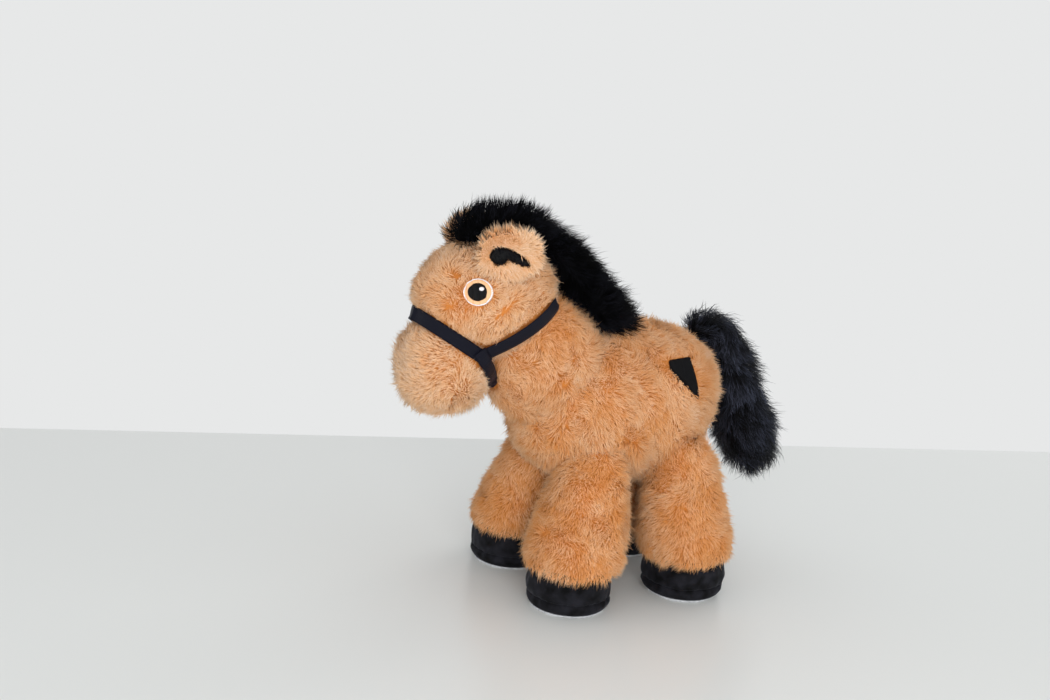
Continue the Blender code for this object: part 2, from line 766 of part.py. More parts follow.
def ear_roll(side, gap):
    length = EAR_WIDTH * EAR_ROLL_SHARE + 2 * gap
    return rod("ear_roll", ear_axis_place(side), EAR_ROLL_DIAMETER / 2 + gap, length, ear_axis(side), 16)


# The stitched mark in each ear: a wedge, blunt in front and pointed behind
EAR_MARK_SHARES = (
    (-0.5, 0.55),
    (-0.30, 0.40),
    (0.10, 0.0),
    (0.5, -0.30),
    (0.40, -0.45),
    (0.0, -0.25),
    (-0.30, -0.5),
)
EAR_MARK_PLACE_SHARES = (-0.03, -0.05)


def ear_mark_prism(side):
    """The wedge's flat outline, filled and drawn out through the inner half of the cup."""
    middle, upward, outward = ear_frame(side)
    outline = bpy.data.curves.new("mark_outline", "CURVE")
    outline.dimensions = "2D"
    outline.fill_mode = "BOTH"
    outline.extrude = EAR_THICKNESS / 2
    stroke = outline.splines.new("POLY")
    stroke.points.add(len(EAR_MARK_SHARES) - 1)
    for point, share in zip(stroke.points, EAR_MARK_SHARES):
        point.co = (share[0] * EAR_MARK_LENGTH, share[1] * EAR_MARK_HEIGHT, 0, 1)
    stroke.use_cyclic_u = True
    drawn = link("mark_curve", outline, CUTTERS)
    solid = bpy.data.meshes.new_from_object(drawn.evaluated_get(bpy.context.evaluated_depsgraph_get()))
    bpy.data.objects.remove(drawn)
    shape = bmesh.new()
    shape.from_mesh(solid)
    bmesh.ops.remove_doubles(shape, verts=shape.verts[:], dist=MERGE_DISTANCE)
    bmesh.ops.recalc_face_normals(shape, faces=shape.faces[:])
    shape.to_mesh(solid)
    shape.free()
    share_x, share_z = EAR_MARK_PLACE_SHARES
    place = middle + ear_axis(side) * share_x * EAR_WIDTH + upward * share_z * EAR_HEIGHT
    stand = ear_turn(side) @ Matrix.Rotation(math.pi / 2, 4, X_AXIS)
    solid.transform(Matrix.Translation(place + outward * EAR_THICKNESS / 4) @ stand)
    return link("mark_prism", solid, CUTTERS)


def build_ears(head):
    carriers = {side: hinge("ear_hinge_" + side, ear_axis_place(side)) for side in SIDES}
    pivot, axis = ear_axis_place("left"), ear_axis("left")
    pad = ear_pad("left")
    cut(pad, ear_cup("left"))
    cut(pad, *swept(head, CREASE, pivot, axis, (-EAR_OUT, -EAR_OUT / 2, EAR_IN)))
    join(pad, ear_roll("left", 0.0))
    finish_pair(pad, "ear", tan_plush(), carriers)
    mark = keep_inside(ear_mark_prism("left"), ear_cup("left", SEAT_GAP))
    cut(mark, ear_cup("left", SEAT_GAP + STITCH_THICKNESS))
    finish_pair(mark, "ear_mark", black_thread(), carriers)


def build_legs(torso, end):
    hip = hip_place(end, "left")
    hem = hem_place(end, "left")
    carriers = {side: hinge("hip_hinge_" + end + "_" + side, hip_place(end, side)) for side in SIDES}
    low, high = LEG_RANGES[end]
    leg = leg_form(end, "left")
    hoof = hoof_form(end, "left")
    cut(leg, *swept(torso, CREASE, hip, Y_AXIS, (-low, 0, -high)))
    join(leg, ball("hip_ball", hip, HIP_RADIUS, Y_AXIS))
    cut(leg, swollen(hoof, SEAT_GAP))
    finish_pair(leg, "leg_" + end, tan_plush(), carriers)
    finish_pair(hoof, "hoof_" + end, black_velvet(), carriers)
    middle = Vector((hem.x, hem.y, SOLE_THICKNESS / 2))
    sole = rod("sole_form", middle, SOLE_DIAMETER / 2, SOLE_THICKNESS, Z_AXIS)
    finish_pair(sole, "sole_" + end, sole_felt(), carriers)


def build_mane(torso, neck, head, body, head_hinge):
    forelock = forelock_form()
    cut(forelock, swollen(head, SEAT_GAP))
    cut(forelock, parting_block(MANE_PARTING, 1))
    finish(forelock, "mane_forelock", black_pile(), head_hinge)
    crest = crest_form()
    parting = MANE_PARTING - math.radians(NOD_UP) - MANE_PARTING_SLACK
    cut(crest, swollen(neck, SEAT_GAP), swollen(torso, SEAT_GAP))
    cut(crest, *swept(head, HALTER_CREASE, HEAD_JOINT, Y_AXIS, nod_angles()))
    cut(crest, ball("seat_clear", HEAD_JOINT, HEAD_SEAT_RADIUS + SEAT_GAP, Y_AXIS))
    cut(crest, parting_block(parting, -1))
    finish(crest, "mane_crest", black_pile(), body)


def build_tail(torso):
    carrier = hinge("tail_hinge", TAIL_ROOT)
    tail = tail_form()
    angles = (-TAIL_SWING, -TAIL_SWING / 2, 0, TAIL_SWING / 2, TAIL_SWING)
    cut(tail, *swept(torso, CREASE, TAIL_ROOT, X_AXIS, angles))
    join(tail, ball("tail_ball", TAIL_ROOT, TAIL_ROOT_DIAMETER / 2, X_AXIS))
    finish(tail, "tail", black_pile(), carrier)


# The bare woven label on the left of the rump
LABEL_SHARE = (0.205, 0.22)


def build_label(torso, body):
    aim = at(TORSO_CENTRE, TORSO_SIZE, LABEL_SHARE)
    centre, facing = surface_place(torso, aim, "left")
    turn = Y_AXIS.rotation_difference(-facing).to_matrix().to_4x4()
    patch = block("label_patch", centre, (LABEL_WIDTH, TORSO_WIDTH / 3, LABEL_HEIGHT), turn)
    keep_inside(patch, swollen(torso, SEAT_GAP + LABEL_THICKNESS))
    cut(patch, swollen(torso, SEAT_GAP))
    finish(patch, "rump_label", label_weave(), body)


def centre_on_floor():
    """Moves the whole horse so that the middle of its bounding box stands over the origin."""
    bpy.context.view_layer.update()
    pieces = [piece for piece in HORSE.objects if piece.type == "MESH"]
    points = [piece.matrix_world @ point.co for piece in pieces for point in piece.data.vertices]
    low = Vector([min(point[axis] for point in points) for axis in range(3)])
    high = Vector([max(point[axis] for point in points) for axis in range(3)])
    shift = Vector((-(low.x + high.x) / 2, -(low.y + high.y) / 2, -low.z))
    for carrier in HORSE.objects:
        if carrier.type == "EMPTY":
            carrier.location += shift


def clear_cutters():
    """The cuts are written into the pieces, so the forms that made them can go."""
    for form in list(CUTTERS.objects):
        bpy.data.objects.remove(form, do_unlink=True)


build_horse()
clear_cutters()
centre_on_floor()
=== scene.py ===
"""Looks of a standing plush horse: short tan pile, long black mane and tail, velvet hooves, ribbon halter.

Lengths are in metres. Each stuffed form repeats the loft of its solid: elliptical rings along a curved
spine, set from the frame's joints. The pile is real strands, rooted on a skin drawn in from that form.
"""
import json
import math

import bpy
import numpy as np
from mathutils import Matrix, Vector


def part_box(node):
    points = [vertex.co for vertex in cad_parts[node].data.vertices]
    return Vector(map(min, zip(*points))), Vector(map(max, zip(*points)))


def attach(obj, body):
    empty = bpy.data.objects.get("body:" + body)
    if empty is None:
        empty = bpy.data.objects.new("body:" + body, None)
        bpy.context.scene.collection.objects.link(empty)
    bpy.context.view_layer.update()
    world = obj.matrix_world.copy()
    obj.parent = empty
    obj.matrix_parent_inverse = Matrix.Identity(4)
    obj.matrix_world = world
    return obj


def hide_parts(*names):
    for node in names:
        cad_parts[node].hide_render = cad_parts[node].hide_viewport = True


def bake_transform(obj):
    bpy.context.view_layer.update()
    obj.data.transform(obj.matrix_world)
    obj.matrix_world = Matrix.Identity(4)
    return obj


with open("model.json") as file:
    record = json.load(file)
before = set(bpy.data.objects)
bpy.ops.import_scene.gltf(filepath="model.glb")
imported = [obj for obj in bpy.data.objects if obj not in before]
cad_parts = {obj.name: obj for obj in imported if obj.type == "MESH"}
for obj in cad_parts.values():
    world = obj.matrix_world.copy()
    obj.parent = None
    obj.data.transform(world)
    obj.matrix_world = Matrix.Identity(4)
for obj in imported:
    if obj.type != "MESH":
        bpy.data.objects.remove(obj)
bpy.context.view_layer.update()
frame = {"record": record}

MM = 0.001
JOINTS = {joint["name"]: joint for joint in frame["record"]["behaviour"]["joints"]}
SIDES = {"left": -1, "right": 1}
ENDS = {"front": -1, "rear": 1}
DOWN = np.array((0.0, 0.0, -1.0))
BACK = np.array((1.0, 0.0, 0.0))
UP = np.array((0.0, 0.0, 1.0))


def circle(count):
    """Evenly spaced angles round a whole turn, from zero."""
    return np.linspace(0, 2 * math.pi, count, endpoint=False)


def joint_place(name):
    """Where a joint of the record stands."""
    return np.array(JOINTS[name]["pos_m"], float)


# Sizes of the stuffed forms, as in the solids that they cover
TORSO_SIZE = np.array((188, 126, 135)) * MM
NECK_LENGTH, NECK_DEPTH, NECK_WIDTH = 110 * MM, 104 * MM, 96 * MM
NECK_ANGLE = math.radians(54)
HEAD_SIZE = np.array((114, 100, 100)) * MM
MUZZLE_SIZE = np.array((76, 80, 82)) * MM
EAR_SIZE = np.array((52, 14, 42)) * MM
EAR_LEAN = math.radians(10)
EAR_FORWARD = math.radians(15)
EAR_CUP = 3 * MM
HIP_RADIUS = 32 * MM
HOOF_RADIUS = 35 * MM
HOOF_HEIGHT = 42 * MM
FLARE_RADIUS = 44.5 * MM
HEM_HEIGHT = 28 * MM
SOLE_RADIUS = 30.5 * MM
SOLE_THICKNESS = 2 * MM
TAIL_LENGTH = 172 * MM
TAIL_RADIUS = 24 * MM
MANE_PILE = 18 * MM

# Places, worked out from the joints
HEAD_JOINT = joint_place("head_nod")
TAIL_ROOT = joint_place("tail_swing")
HIPS = {(end, side): joint_place(f"hip_{end}_{side}") for end in ENDS for side in SIDES}
HEMS = {key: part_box("sole_" + "_".join(key)) for key in HIPS}
HEMS = {key: (np.array(low) + np.array(high)) / 2 * (1, 1, 0) for key, (low, high) in HEMS.items()}
TORSO_CENTRE = np.array((TAIL_ROOT[0] - 0.36 * TORSO_SIZE[0], 0, TAIL_ROOT[2] - 0.43 * TORSO_SIZE[2]))
NECK_AHEAD = np.array((-math.cos(NECK_ANGLE), 0, math.sin(NECK_ANGLE)))
NECK_BASE = TORSO_CENTRE + (-0.213 * TORSO_SIZE[0], 0, 0)
NECK_TOP = NECK_BASE + NECK_AHEAD * NECK_LENGTH
HEAD_CENTRE = HEAD_JOINT + (-0.307 * HEAD_SIZE[0], 0, 0.14 * HEAD_SIZE[2])
# The muzzle and the ears stand a few millimetres from their solids, where the picture shows them
MUZZLE_SHIFT = np.array((2, 0, 3.5)) * MM
EAR_SHIFTS = {"left": np.array((-3.5, 0, -1)) * MM, "right": np.array((3, -4, -2)) * MM}
MUZZLE_CENTRE = HEAD_CENTRE + (-0.27 * HEAD_SIZE[0], 0, -0.57 * HEAD_SIZE[2]) + MUZZLE_SHIFT


def route(origin, size, shares):
    """Points in the middle plane, at shares of a length and a height from an origin."""
    return [origin + (x * size[0], 0, z * size[-1]) for x, z in shares]


def through(points, t):
    """Smooth cubic curve through evenly spaced points, read at shares t of its length. At each point it
    runs along the line that joins the two neighbours."""
    known = np.asarray(points, float).reshape(len(points), -1)
    ends = np.vstack([2 * known[0] - known[1], known, 2 * known[-1] - known[-2]])
    place = np.clip(np.asarray(t, float), 0, 1) * (len(known) - 1)
    first = np.minimum(place.astype(int), len(known) - 2)
    u = (place - first)[:, None]
    a, b, c, d = (ends[first + k] for k in range(4))
    return 0.5 * (2 * b + (c - a) * u + (2 * a - 5 * b + 4 * c - d) * u**2 + (3 * b - a - 3 * c + d) * u**3)


def unit(vectors):
    """Vectors scaled to length one."""
    return vectors / np.maximum(np.linalg.norm(vectors, axis=-1, keepdims=True), 1e-12)


def turn_of(lean, facing):
    """Rotation by a lean about X, then by a facing about Z."""
    upright, over = math.cos(lean), math.sin(lean)
    ahead, aside = math.cos(facing), math.sin(facing)
    tip = np.array(((1, 0, 0), (0, upright, -over), (0, over, upright)))
    swing = np.array(((ahead, -aside, 0), (aside, ahead, 0), (0, 0, 1)))
    return swing @ tip


CUP_SPREAD_SHARE = 0.36
SCATTER_CELLS = 90
# Steps of a sequence that fills a square without clumps: 1 / g and 1 / g^2, where g^3 = g + 1
EVEN_STEPS = 0.7548776662, 0.5698402910


class Form:
    """A stuffed form. At (s, a) its point is, with t = (1 - cos(pi s)) / 2, the spine at t plus
    wide(t) h(t) cos(a) across plus deep(t) h(t) sin(a) up, where h = (1 - |2t - 1|^p)^(1/p).
    A cup pushes the face on one side in along Y by cup exp(-r^2 / spread), most at its middle.
    The whole may then be turned about its middle."""

    def __init__(self, spine, wide, deep, roundness, level=False, turn=None, cup=0.0):
        self.spine = np.array(spine, float)
        self.wide = np.array(wide, float)
        self.deep = np.array(deep, float)
        self.roundness = roundness
        self.level = level
        self.turn = turn
        self.cup = cup
        self.middle = self.spine.mean(axis=0)
        self.length = np.linalg.norm(np.diff(self.spine, axis=0), axis=1).sum()
        self.outward = 1.0
        place = np.array((0.5,)), np.array((0.0,))
        away = self.surface(*place) - self.centre_line(place[0])
        self.outward = np.sign((self.facing(*place) * away).sum())

    def turned(self, points):
        """Points turned with the form about its middle."""
        return points if self.turn is None else (points - self.middle) @ self.turn.T + self.middle

    def ring(self, s, inset):
        """Centre, across, upward and half sizes of the rings at s, drawn in by inset."""
        t = (1 - np.cos(math.pi * s)) / 2
        power = np.where(t < 0.5, self.roundness[0], self.roundness[1])
        taper = np.clip(1 - np.abs(2 * t - 1) ** power, 0, 1) ** (1 / power)
        short = inset / self.length
        place = short + t * (1 - 2 * short)
        centre = through(self.spine, place)
        step = 0.01
        ahead = unit(through(self.spine, place + step) - through(self.spine, place - step))
        across = np.tile((0.0, 1.0, 0.0), (len(s), 1))
        upward = unit(np.cross(ahead, across))
        if self.level:
            upward = np.tile((1.0, 0.0, 0.0), (len(s), 1))
        half_wide = np.maximum(through(self.wide, t)[:, 0] - inset, 0.5 * MM) * taper
        half_deep = np.maximum(through(self.deep, t)[:, 0] - inset, 0.5 * MM) * taper
        return centre, across, upward, half_wide, half_deep

    def surface(self, s, a, inset=0.0):
        """Points at the same-shaped arrays s and a."""
        s, a = np.broadcast_arrays(np.asarray(s, float), np.asarray(a, float))
        shape = s.shape
        centre, across, upward, wide, deep = self.ring(s.ravel(), inset)
        angle = a.ravel()[:, None]
        points = centre + np.cos(angle) * across * wide[:, None] + np.sin(angle) * upward * deep[:, None]
        if self.cup:
            along = np.cos(math.pi * s.ravel())
            aside = np.sin(a.ravel()) * deep / self.deep.max()
            faced = np.clip(np.cos(a.ravel()) * -np.sign(self.cup), 0, 1)
            points[:, 1] += self.cup * faced * np.exp(-(along**2 + aside**2) / CUP_SPREAD_SHARE)
        return self.turned(points).reshape(*shape, 3)

    def facing(self, s, a, inset=0.0):
        """Outward unit normals, from small steps along s and a."""
        s = np.clip(s, 0.01, 0.99)
        step = 0.004
        along = self.surface(s + step, a, inset) - self.surface(s - step, a, inset)
        round_it = self.surface(s, a + step, inset) - self.surface(s, a - step, inset)
        return unit(np.cross(along, round_it)) * self.outward

    def centre_line(self, s):
        """Middles of the rings at s."""
        return self.turned(self.ring(np.ravel(s), 0.0)[0]).reshape(*np.shape(s), 3)

    def scatter(self, per_area, inset, dice):
        """Places (s, a) spread evenly over the surface: a sequence without clumps, stretched by the area
        of the cells of a fine grid, first along the spine and then round it."""
        s_edges = np.linspace(0.0, 1.0, SCATTER_CELLS + 1)
        a_edges = np.linspace(0, 2 * math.pi, 85)
        grid = self.surface(*np.meshgrid(s_edges, a_edges, indexing="ij"), inset)
        along = grid[1:, :-1] - grid[:-1, :-1]
        aside = grid[:-1, 1:] - grid[:-1, :-1]
        area = np.linalg.norm(np.cross(along, aside), axis=-1) + 1e-12
        count = int(area.sum() * per_area)
        first, second = ((np.arange(count) * step + dice.random()) % 1 for step in EVEN_STEPS)
        rows = np.concatenate(([0], np.cumsum(area.sum(axis=1)))) / area.sum()
        s = np.interp(first, rows, s_edges)
        row = np.minimum((s * SCATTER_CELLS).astype(int), SCATTER_CELLS - 1)
        shares = np.cumsum(area, axis=1) / area.sum(axis=1, keepdims=True)
        shares = np.pad(shares, ((0, 0), (1, 0)))
        known = (np.arange(SCATTER_CELLS)[:, None] + 0.999999 * shares).ravel()
        return s, np.interp(row + 0.999999 * second, known, np.tile(a_edges, SCATTER_CELLS))

    def holds(self, points, inset=0.0):
        """Whether points lie inside the form drawn in by inset, read at the ring nearest each point."""
        if self.turn is not None:
            points = (points - self.middle) @ self.turn + self.middle
        centre, across, upward, wide, deep = self.ring(np.linspace(0.02, 0.98, 33), inset)
        normal = np.cross(across, upward)
        offset = points[:, None, :] - centre[None]
        nearest = np.abs((offset * normal).sum(axis=-1)).argmin(axis=1)
        rows = np.arange(len(points))
        near = offset[rows, nearest]
        u = (near * across[nearest]).sum(axis=-1) / wide[nearest]
        v = (near * upward[nearest]).sum(axis=-1) / deep[nearest]
        gap = np.abs((near * normal[nearest]).sum(axis=-1))
        return (u * u + v * v < 1) & (gap < self.length / 16)


TORSO = Form(
    route(TORSO_CENTRE, TORSO_SIZE, ((-0.5, 0.04), (-0.25, 0.01), (0, 0), (0.25, 0.005), (0.5, -0.08))),
    np.array((0.94, 1.0, 0.98, 0.96, 0.82)) * TORSO_SIZE[1] / 2,
    np.array((0.96, 0.98, 1.0, 1.01, 0.94)) * TORSO_SIZE[2] / 2,
    (2.6, 2.8),
)
NECK_SAG = np.array((-math.sin(NECK_ANGLE), 0, -math.cos(NECK_ANGLE))) * 0.025 * NECK_LENGTH
NECK = Form(
    [NECK_BASE, (NECK_BASE + NECK_TOP) / 2 + NECK_SAG, NECK_TOP],
    np.array((1.10, 1.02, 0.88)) * NECK_WIDTH / 2,
    np.array((1.10, 1.02, 0.88)) * NECK_DEPTH / 2,
    (2.3, 3.0),
)
HEAD = Form(
    route(HEAD_CENTRE, HEAD_SIZE, ((0.545, 0.0), (0.27, 0.01), (0, 0), (-0.25, -0.01), (-0.5, 0.0))),
    np.array((0.98, 1.0, 1.0, 0.94, 0.86)) * HEAD_SIZE[1] / 2,
    np.array((0.96, 1.0, 1.0, 0.96, 0.90)) * HEAD_SIZE[2] / 2,
    (2.4, 2.3),
)
MUZZLE = Form(
    route(MUZZLE_CENTRE, MUZZLE_SIZE, ((0.5, 0), (0, 0), (-0.5, 0))),
    np.ones(3) * MUZZLE_SIZE[1] / 2,
    np.ones(3) * MUZZLE_SIZE[2] / 2,
    (2.2, 2.6),
)


def leg_form(key):
    """A leg: round at the hip, swelling down to a hem that hangs over the hoof."""
    top = HIPS[key] + UP * HIP_RADIUS * 0.85
    bottom = HEMS[key] + UP * HEM_HEIGHT
    spine = [top + (bottom - top) * share for share in (0, 1 / 3, 2 / 3, 1)]
    radii = HIP_RADIUS + (FLARE_RADIUS - HIP_RADIUS) * np.array((-0.15, 0.08, 0.60, 0.97))
    return Form(spine, radii, radii, (3.0, 7.0), level=True)


def ear_form(side):
    """An ear: a lens-shaped pad standing on the head, leaning outwards and facing a little ahead."""
    seat = joint_place(f"ear_{side}_fold")
    turn = turn_of(-SIDES[side] * EAR_LEAN, SIDES[side] * EAR_FORWARD)
    middle = seat + turn @ UP * EAR_SIZE[2] * 0.36 + EAR_SHIFTS[side]
    reach = BACK * EAR_SIZE[0] / 2
    spine = [middle - reach, middle, middle + reach]
    thick, tall = [EAR_SIZE[1] / 2] * 3, [EAR_SIZE[2] / 2] * 3
    return Form(spine, thick, tall, (2.2, 2.2), turn=turn, cup=-SIDES[side] * EAR_CUP)


LEGS = {key: leg_form(key) for key in HIPS}
EARS = {side: ear_form(side) for side in SIDES}
TAIL_ROUTE = ((0, 0), (0.116, 0.020), (0.227, -0.056), (0.308, -0.219), (0.378, -0.399), (0.471, -0.579),
              (0.576, -0.736))
TAIL_RADII = np.array((0.70, 0.72, 0.80, 0.92, 1.02, 1.12, 1.10)) * TAIL_RADIUS
TAIL = Form(route(TAIL_ROOT, (TAIL_LENGTH, TAIL_LENGTH), TAIL_ROUTE), TAIL_RADII, TAIL_RADII, (4.6, 3.4))
CREST_ROUTE = ((0.08, 0.56), (0.23, 0.465), (0.43, 0.26), (0.61, 0.06), (0.80, -0.055), (0.97, -0.09))
FORELOCK = Form(
    route(HEAD_CENTRE, HEAD_SIZE, ((-0.27, 0.44), (-0.14, 0.53), (0.07, 0.56), (0.33, 0.53), (0.52, 0.37))),
    np.array((0.62, 0.92, 1.0, 1.0, 1.0)) * 22 * MM,
    np.array((0.80, 0.98, 1.0, 1.05, 1.05)) * MANE_PILE,
    (2.4, 3.0),
)
CREST = Form(
    route(HEAD_JOINT, (NECK_LENGTH, NECK_LENGTH), CREST_ROUTE),
    np.array((0.80, 0.92, 1.0, 1.0, 0.86, 0.62)) * 34 * MM,
    np.array((1.0, 1.05, 1.10, 1.10, 1.05, 0.90)) * MANE_PILE,
    (3.0, 2.4),
)


def linear(hex_colour):
    """An sRGB hex colour as linear red, green, blue and alpha."""
    shares = [int(hex_colour[i : i + 2], 16) / 255 for i in (0, 2, 4)]
    return (*[c / 12.92 if c <= 0.04045 else ((c + 0.055) / 1.055) ** 2.4 for c in shares], 1.0)


def add(tree, kind, settings=None, inputs=None, stops=()):
    """Adds one node. settings are its attributes, inputs its values or the sockets linked to it, and stops
    the (place, hex colour) pairs of its colour ramp."""
    node = tree.nodes.new("ShaderNode" + kind)
    for name, value in (settings or {}).items():
        setattr(node, name, value)
    for name, value in (inputs or {}).items():
        if isinstance(value, bpy.types.NodeSocket):
            tree.links.new(value, node.inputs[name])
        else:
            node.inputs[name].default_value = value
    elements = node.color_ramp.elements if stops else ()
    while len(elements) < len(stops):
        elements.new(1.0)
    for element, (place, colour) in zip(elements, stops):
        element.position = place
        element.color = linear(colour)
    return node


def new_material(name, **fixed):
    """A named material with its Principled shader, whose fixed values are set on its own sockets."""
    made = bpy.data.materials.new(name)
    made.use_nodes = True
    shader = made.node_tree.nodes["Principled BSDF"]
    for socket, value in fixed.items():
        shader.inputs[socket.replace("_", " ")].default_value = value
    return made, made.node_tree, shader


def pile_material(name, dark, light, roughness, specular, sheen, tint):
    """Fibre pile: v runs from root to tip through the dark and the light colours, which u, a strand's
    tone, mixes."""
    made, tree, shader = new_material(
        name, Roughness=roughness, Specular_IOR_Level=specular,
        Sheen_Weight=sheen, Sheen_Roughness=0.5, Sheen_Tint=linear(tint),
    )
    place = add(tree, "UVMap", {"uv_map": "OFBake"})
    parts = add(tree, "SeparateXYZ", inputs={"Vector": place.outputs["UV"]})
    share = {"Fac": parts.outputs["Y"]}
    ends = [add(tree, "ValToRGB", inputs=share, stops=stops).outputs["Color"] for stops in (dark, light)]
    mix = add(tree, "Mix", {"data_type": "RGBA"}, {0: parts.outputs["X"], 6: ends[0], 7: ends[1]})
    tree.links.new(mix.outputs[2], shader.inputs["Base Color"])
    return made


def tan_plush():
    """Polyester plush: matt fibres, pale at their tips. Both ramps grow darker and deeper orange-brown
    towards the roots, between the tufts: painted shade deep in the pile.
    """
    # painted shade: each ramp darkens from tip to root
    dark = ((0.0, "8E4A1C"), (0.3, "CB7D3B"), (0.7, "DC9656"), (1.0, "E6B07C"))
    light = ((0.0, "B87A48"), (0.3, "E3AC78"), (0.7, "EFC7A0"), (1.0, "F6E0C8"))
    return pile_material("tan_polyester_plush", dark, light, 0.85, 0.15, 0.25, "F6DDBD")


def mane_pile():
    """Long acrylic pile of the mane: near-black, matt fibres. The paler blue-grey tips of the light tone
    are painted highlight.
    """
    dark = ((0.0, "020203"), (0.5, "030303"), (1.0, "060607"))
    # painted highlight: the light ramp's blue-grey towards the tips
    light = ((0.0, "030304"), (0.5, "0C0C0F"), (0.8, "1C1D23"), (1.0, "3A3C48"))
    return pile_material("black_acrylic_mane_pile", dark, light, 0.6, 0.03, 0.0, "A0A4B4")


def tail_pile():
    """Long acrylic pile of the tail: near-black fibres, with a blue-grey lustre toward their tips that is
    painted highlight in the light tone.
    """
    dark = ((0.0, "020203"), (0.5, "040405"), (1.0, "0A0A0C"))
    # painted highlight: the light ramp's blue-grey towards the tips
    light = ((0.0, "050506"), (0.5, "1B1C22"), (0.8, "3C404E"), (1.0, "70768C"))
    return pile_material("black_acrylic_tail_pile", dark, light, 0.35, 0.10, 0.02, "A0A4B4")


def weave(tree, shader, tone, stops, height, relief, strength):
    """Gives a cloth its colours, which a tone takes from stops, and a relief whose depth is a length."""
    colour = add(tree, "ValToRGB", inputs={"Fac": tone}, stops=stops)
    bump = add(tree, "Bump", inputs={"Height": height, "Distance": relief, "Strength": strength})
    tree.links.new(colour.outputs["Color"], shader.inputs["Base Color"])
    tree.links.new(bump.outputs["Normal"], shader.inputs["Normal"])


def mottled_cloth(name, base, deep, patch, thread, relief, **fixed):
    """Cloth of two near colours in soft patches, with relief the size of its threads. patch and thread are
    lengths."""
    made, tree, shader = new_material(name, **fixed)
    place = add(tree, "TexCoord").outputs["Object"]
    patches, grain = (
        add(tree, "TexNoise", inputs={"Vector": place, "Scale": 1 / size, "Detail": detail}).outputs["Fac"]
        for size, detail in ((patch, 3.0), (thread, 2.0))
    )
    weave(tree, shader, patches, ((0.35, deep), (0.65, base)), grain, relief, 0.6)
    return made


def backing(name, base, deep, **fixed):
    """Knitted polyester under the pile, seen only between the tufts: stitches of 0.8 mm."""
    return mottled_cloth(name, base, deep, 6 * MM, 0.8 * MM, 0.3 * MM, **fixed)


def black_velvet():
    """Crushed polyester velvet: deep black, with patches of painted grey sheen where the nap would lean
    over and catch the light.
    Its crushed patches are 11 mm across and its nap 0.7 mm."""
    return mottled_cloth(
        # 1E1E23 is painted sheen on the velvet's own black 060607
        "black_crushed_velvet", "1E1E23", "060607", 11 * MM, 0.7 * MM, 0.25 * MM,
        Roughness=0.8, Specular_IOR_Level=0.15,
        Sheen_Weight=0.25, Sheen_Roughness=0.35, Sheen_Tint=linear("8A8C98"),
    )


def grey_felt():
    """Pressed polyester felt: pale grey, matt, with short matted fibres of 0.9 mm."""
    return mottled_cloth(
        "grey_polyester_felt", "C9CBCD", "A9ABAE", 3 * MM, 0.9 * MM, 0.3 * MM, Roughness=0.95
    )


def threaded_cloth(name, base, deep, direction, thread, relief, **fixed):
    """Threads laid side by side across the Lay map, whose u and v are metres; thread is their spacing. One
    wave gives both colour and relief, so the deep colour lies in the grooves between threads: painted
    shade.
    """
    made, tree, shader = new_material(name, **fixed)
    place = add(tree, "UVMap", {"uv_map": "Lay"}).outputs["UV"]
    bands = 2 * math.pi / 20 / thread
    wave = add(
        tree, "TexWave", {"bands_direction": direction},
        {"Vector": place, "Scale": bands, "Distortion": 1.2, "Detail": 2.0, "Detail Scale": 0.4},
    ).outputs["Fac"]
    # painted shade: the deep colour where the wave's relief is low
    weave(tree, shader, wave, ((0.15, deep), (0.7, base)), wave, relief, 0.5)
    return made


def satin_ribbon():
    """Fine ribbed polyester ribbon, blue-black with a dull satin shine: ribs of 0.35 mm, drawn at 0.6 mm so
    that they show."""
    return threaded_cloth(
        "black_ribbed_ribbon", "10111E", "080911", "X", 0.6 * MM, 0.12 * MM,
        Roughness=0.5, Specular_IOR_Level=0.16,
        Sheen_Weight=0.05, Sheen_Roughness=0.3, Sheen_Tint=linear("7C86B8"),
    )


def stitched_thread(name, base, deep):
    """Rayon satin stitch: threads of 0.4 mm, drawn at 0.55 mm, with a silky shine."""
    return threaded_cloth(
        name, base, deep, "Y", 0.55 * MM, 0.06 * MM, Roughness=0.45, Specular_IOR_Level=0.25
    )


def woven_label():
    """Damask label tape: a flat, tight black weave, whose 0.2 mm threads are drawn at 0.6 mm."""
    return threaded_cloth(
        "black_woven_label", "0C0C0E", "060607", "Y", 0.6 * MM, 0.05 * MM,
        Roughness=0.75, Specular_IOR_Level=0.15,
    )


# The ears' backing is paler than the body's, because their short tufts let more of it through
LOOKS = {
    "plush": tan_plush(),
    "backing": backing("tan_knit_backing", "D08541", "B86E30", Roughness=0.95),
    "ear_backing": backing("pale_knit_backing", "E6B584", "D79F66", Roughness=0.95),
    "mane": mane_pile(),
    "tail": tail_pile(),
    "pile_backing": backing(
        "black_knit_backing", "060607", "030304", Roughness=0.9, Specular_IOR_Level=0.1
    ),
    "velvet": black_velvet(),
    "felt": grey_felt(),
    "ribbon": satin_ribbon(),
    "white": stitched_thread("white_embroidery_thread", "EFEAEC", "D9D3D4"),
    "amber": stitched_thread("amber_embroidery_thread", "F0C49A", "DDA673"),
    "black": stitched_thread("black_embroidery_thread", "0A0A0C", "050506"),
    "label": woven_label(),
}


def new_object(name, data):
    """An object linked to the scene."""
    made = bpy.data.objects.new(name, data)
    bpy.context.scene.collection.objects.link(made)
    return made


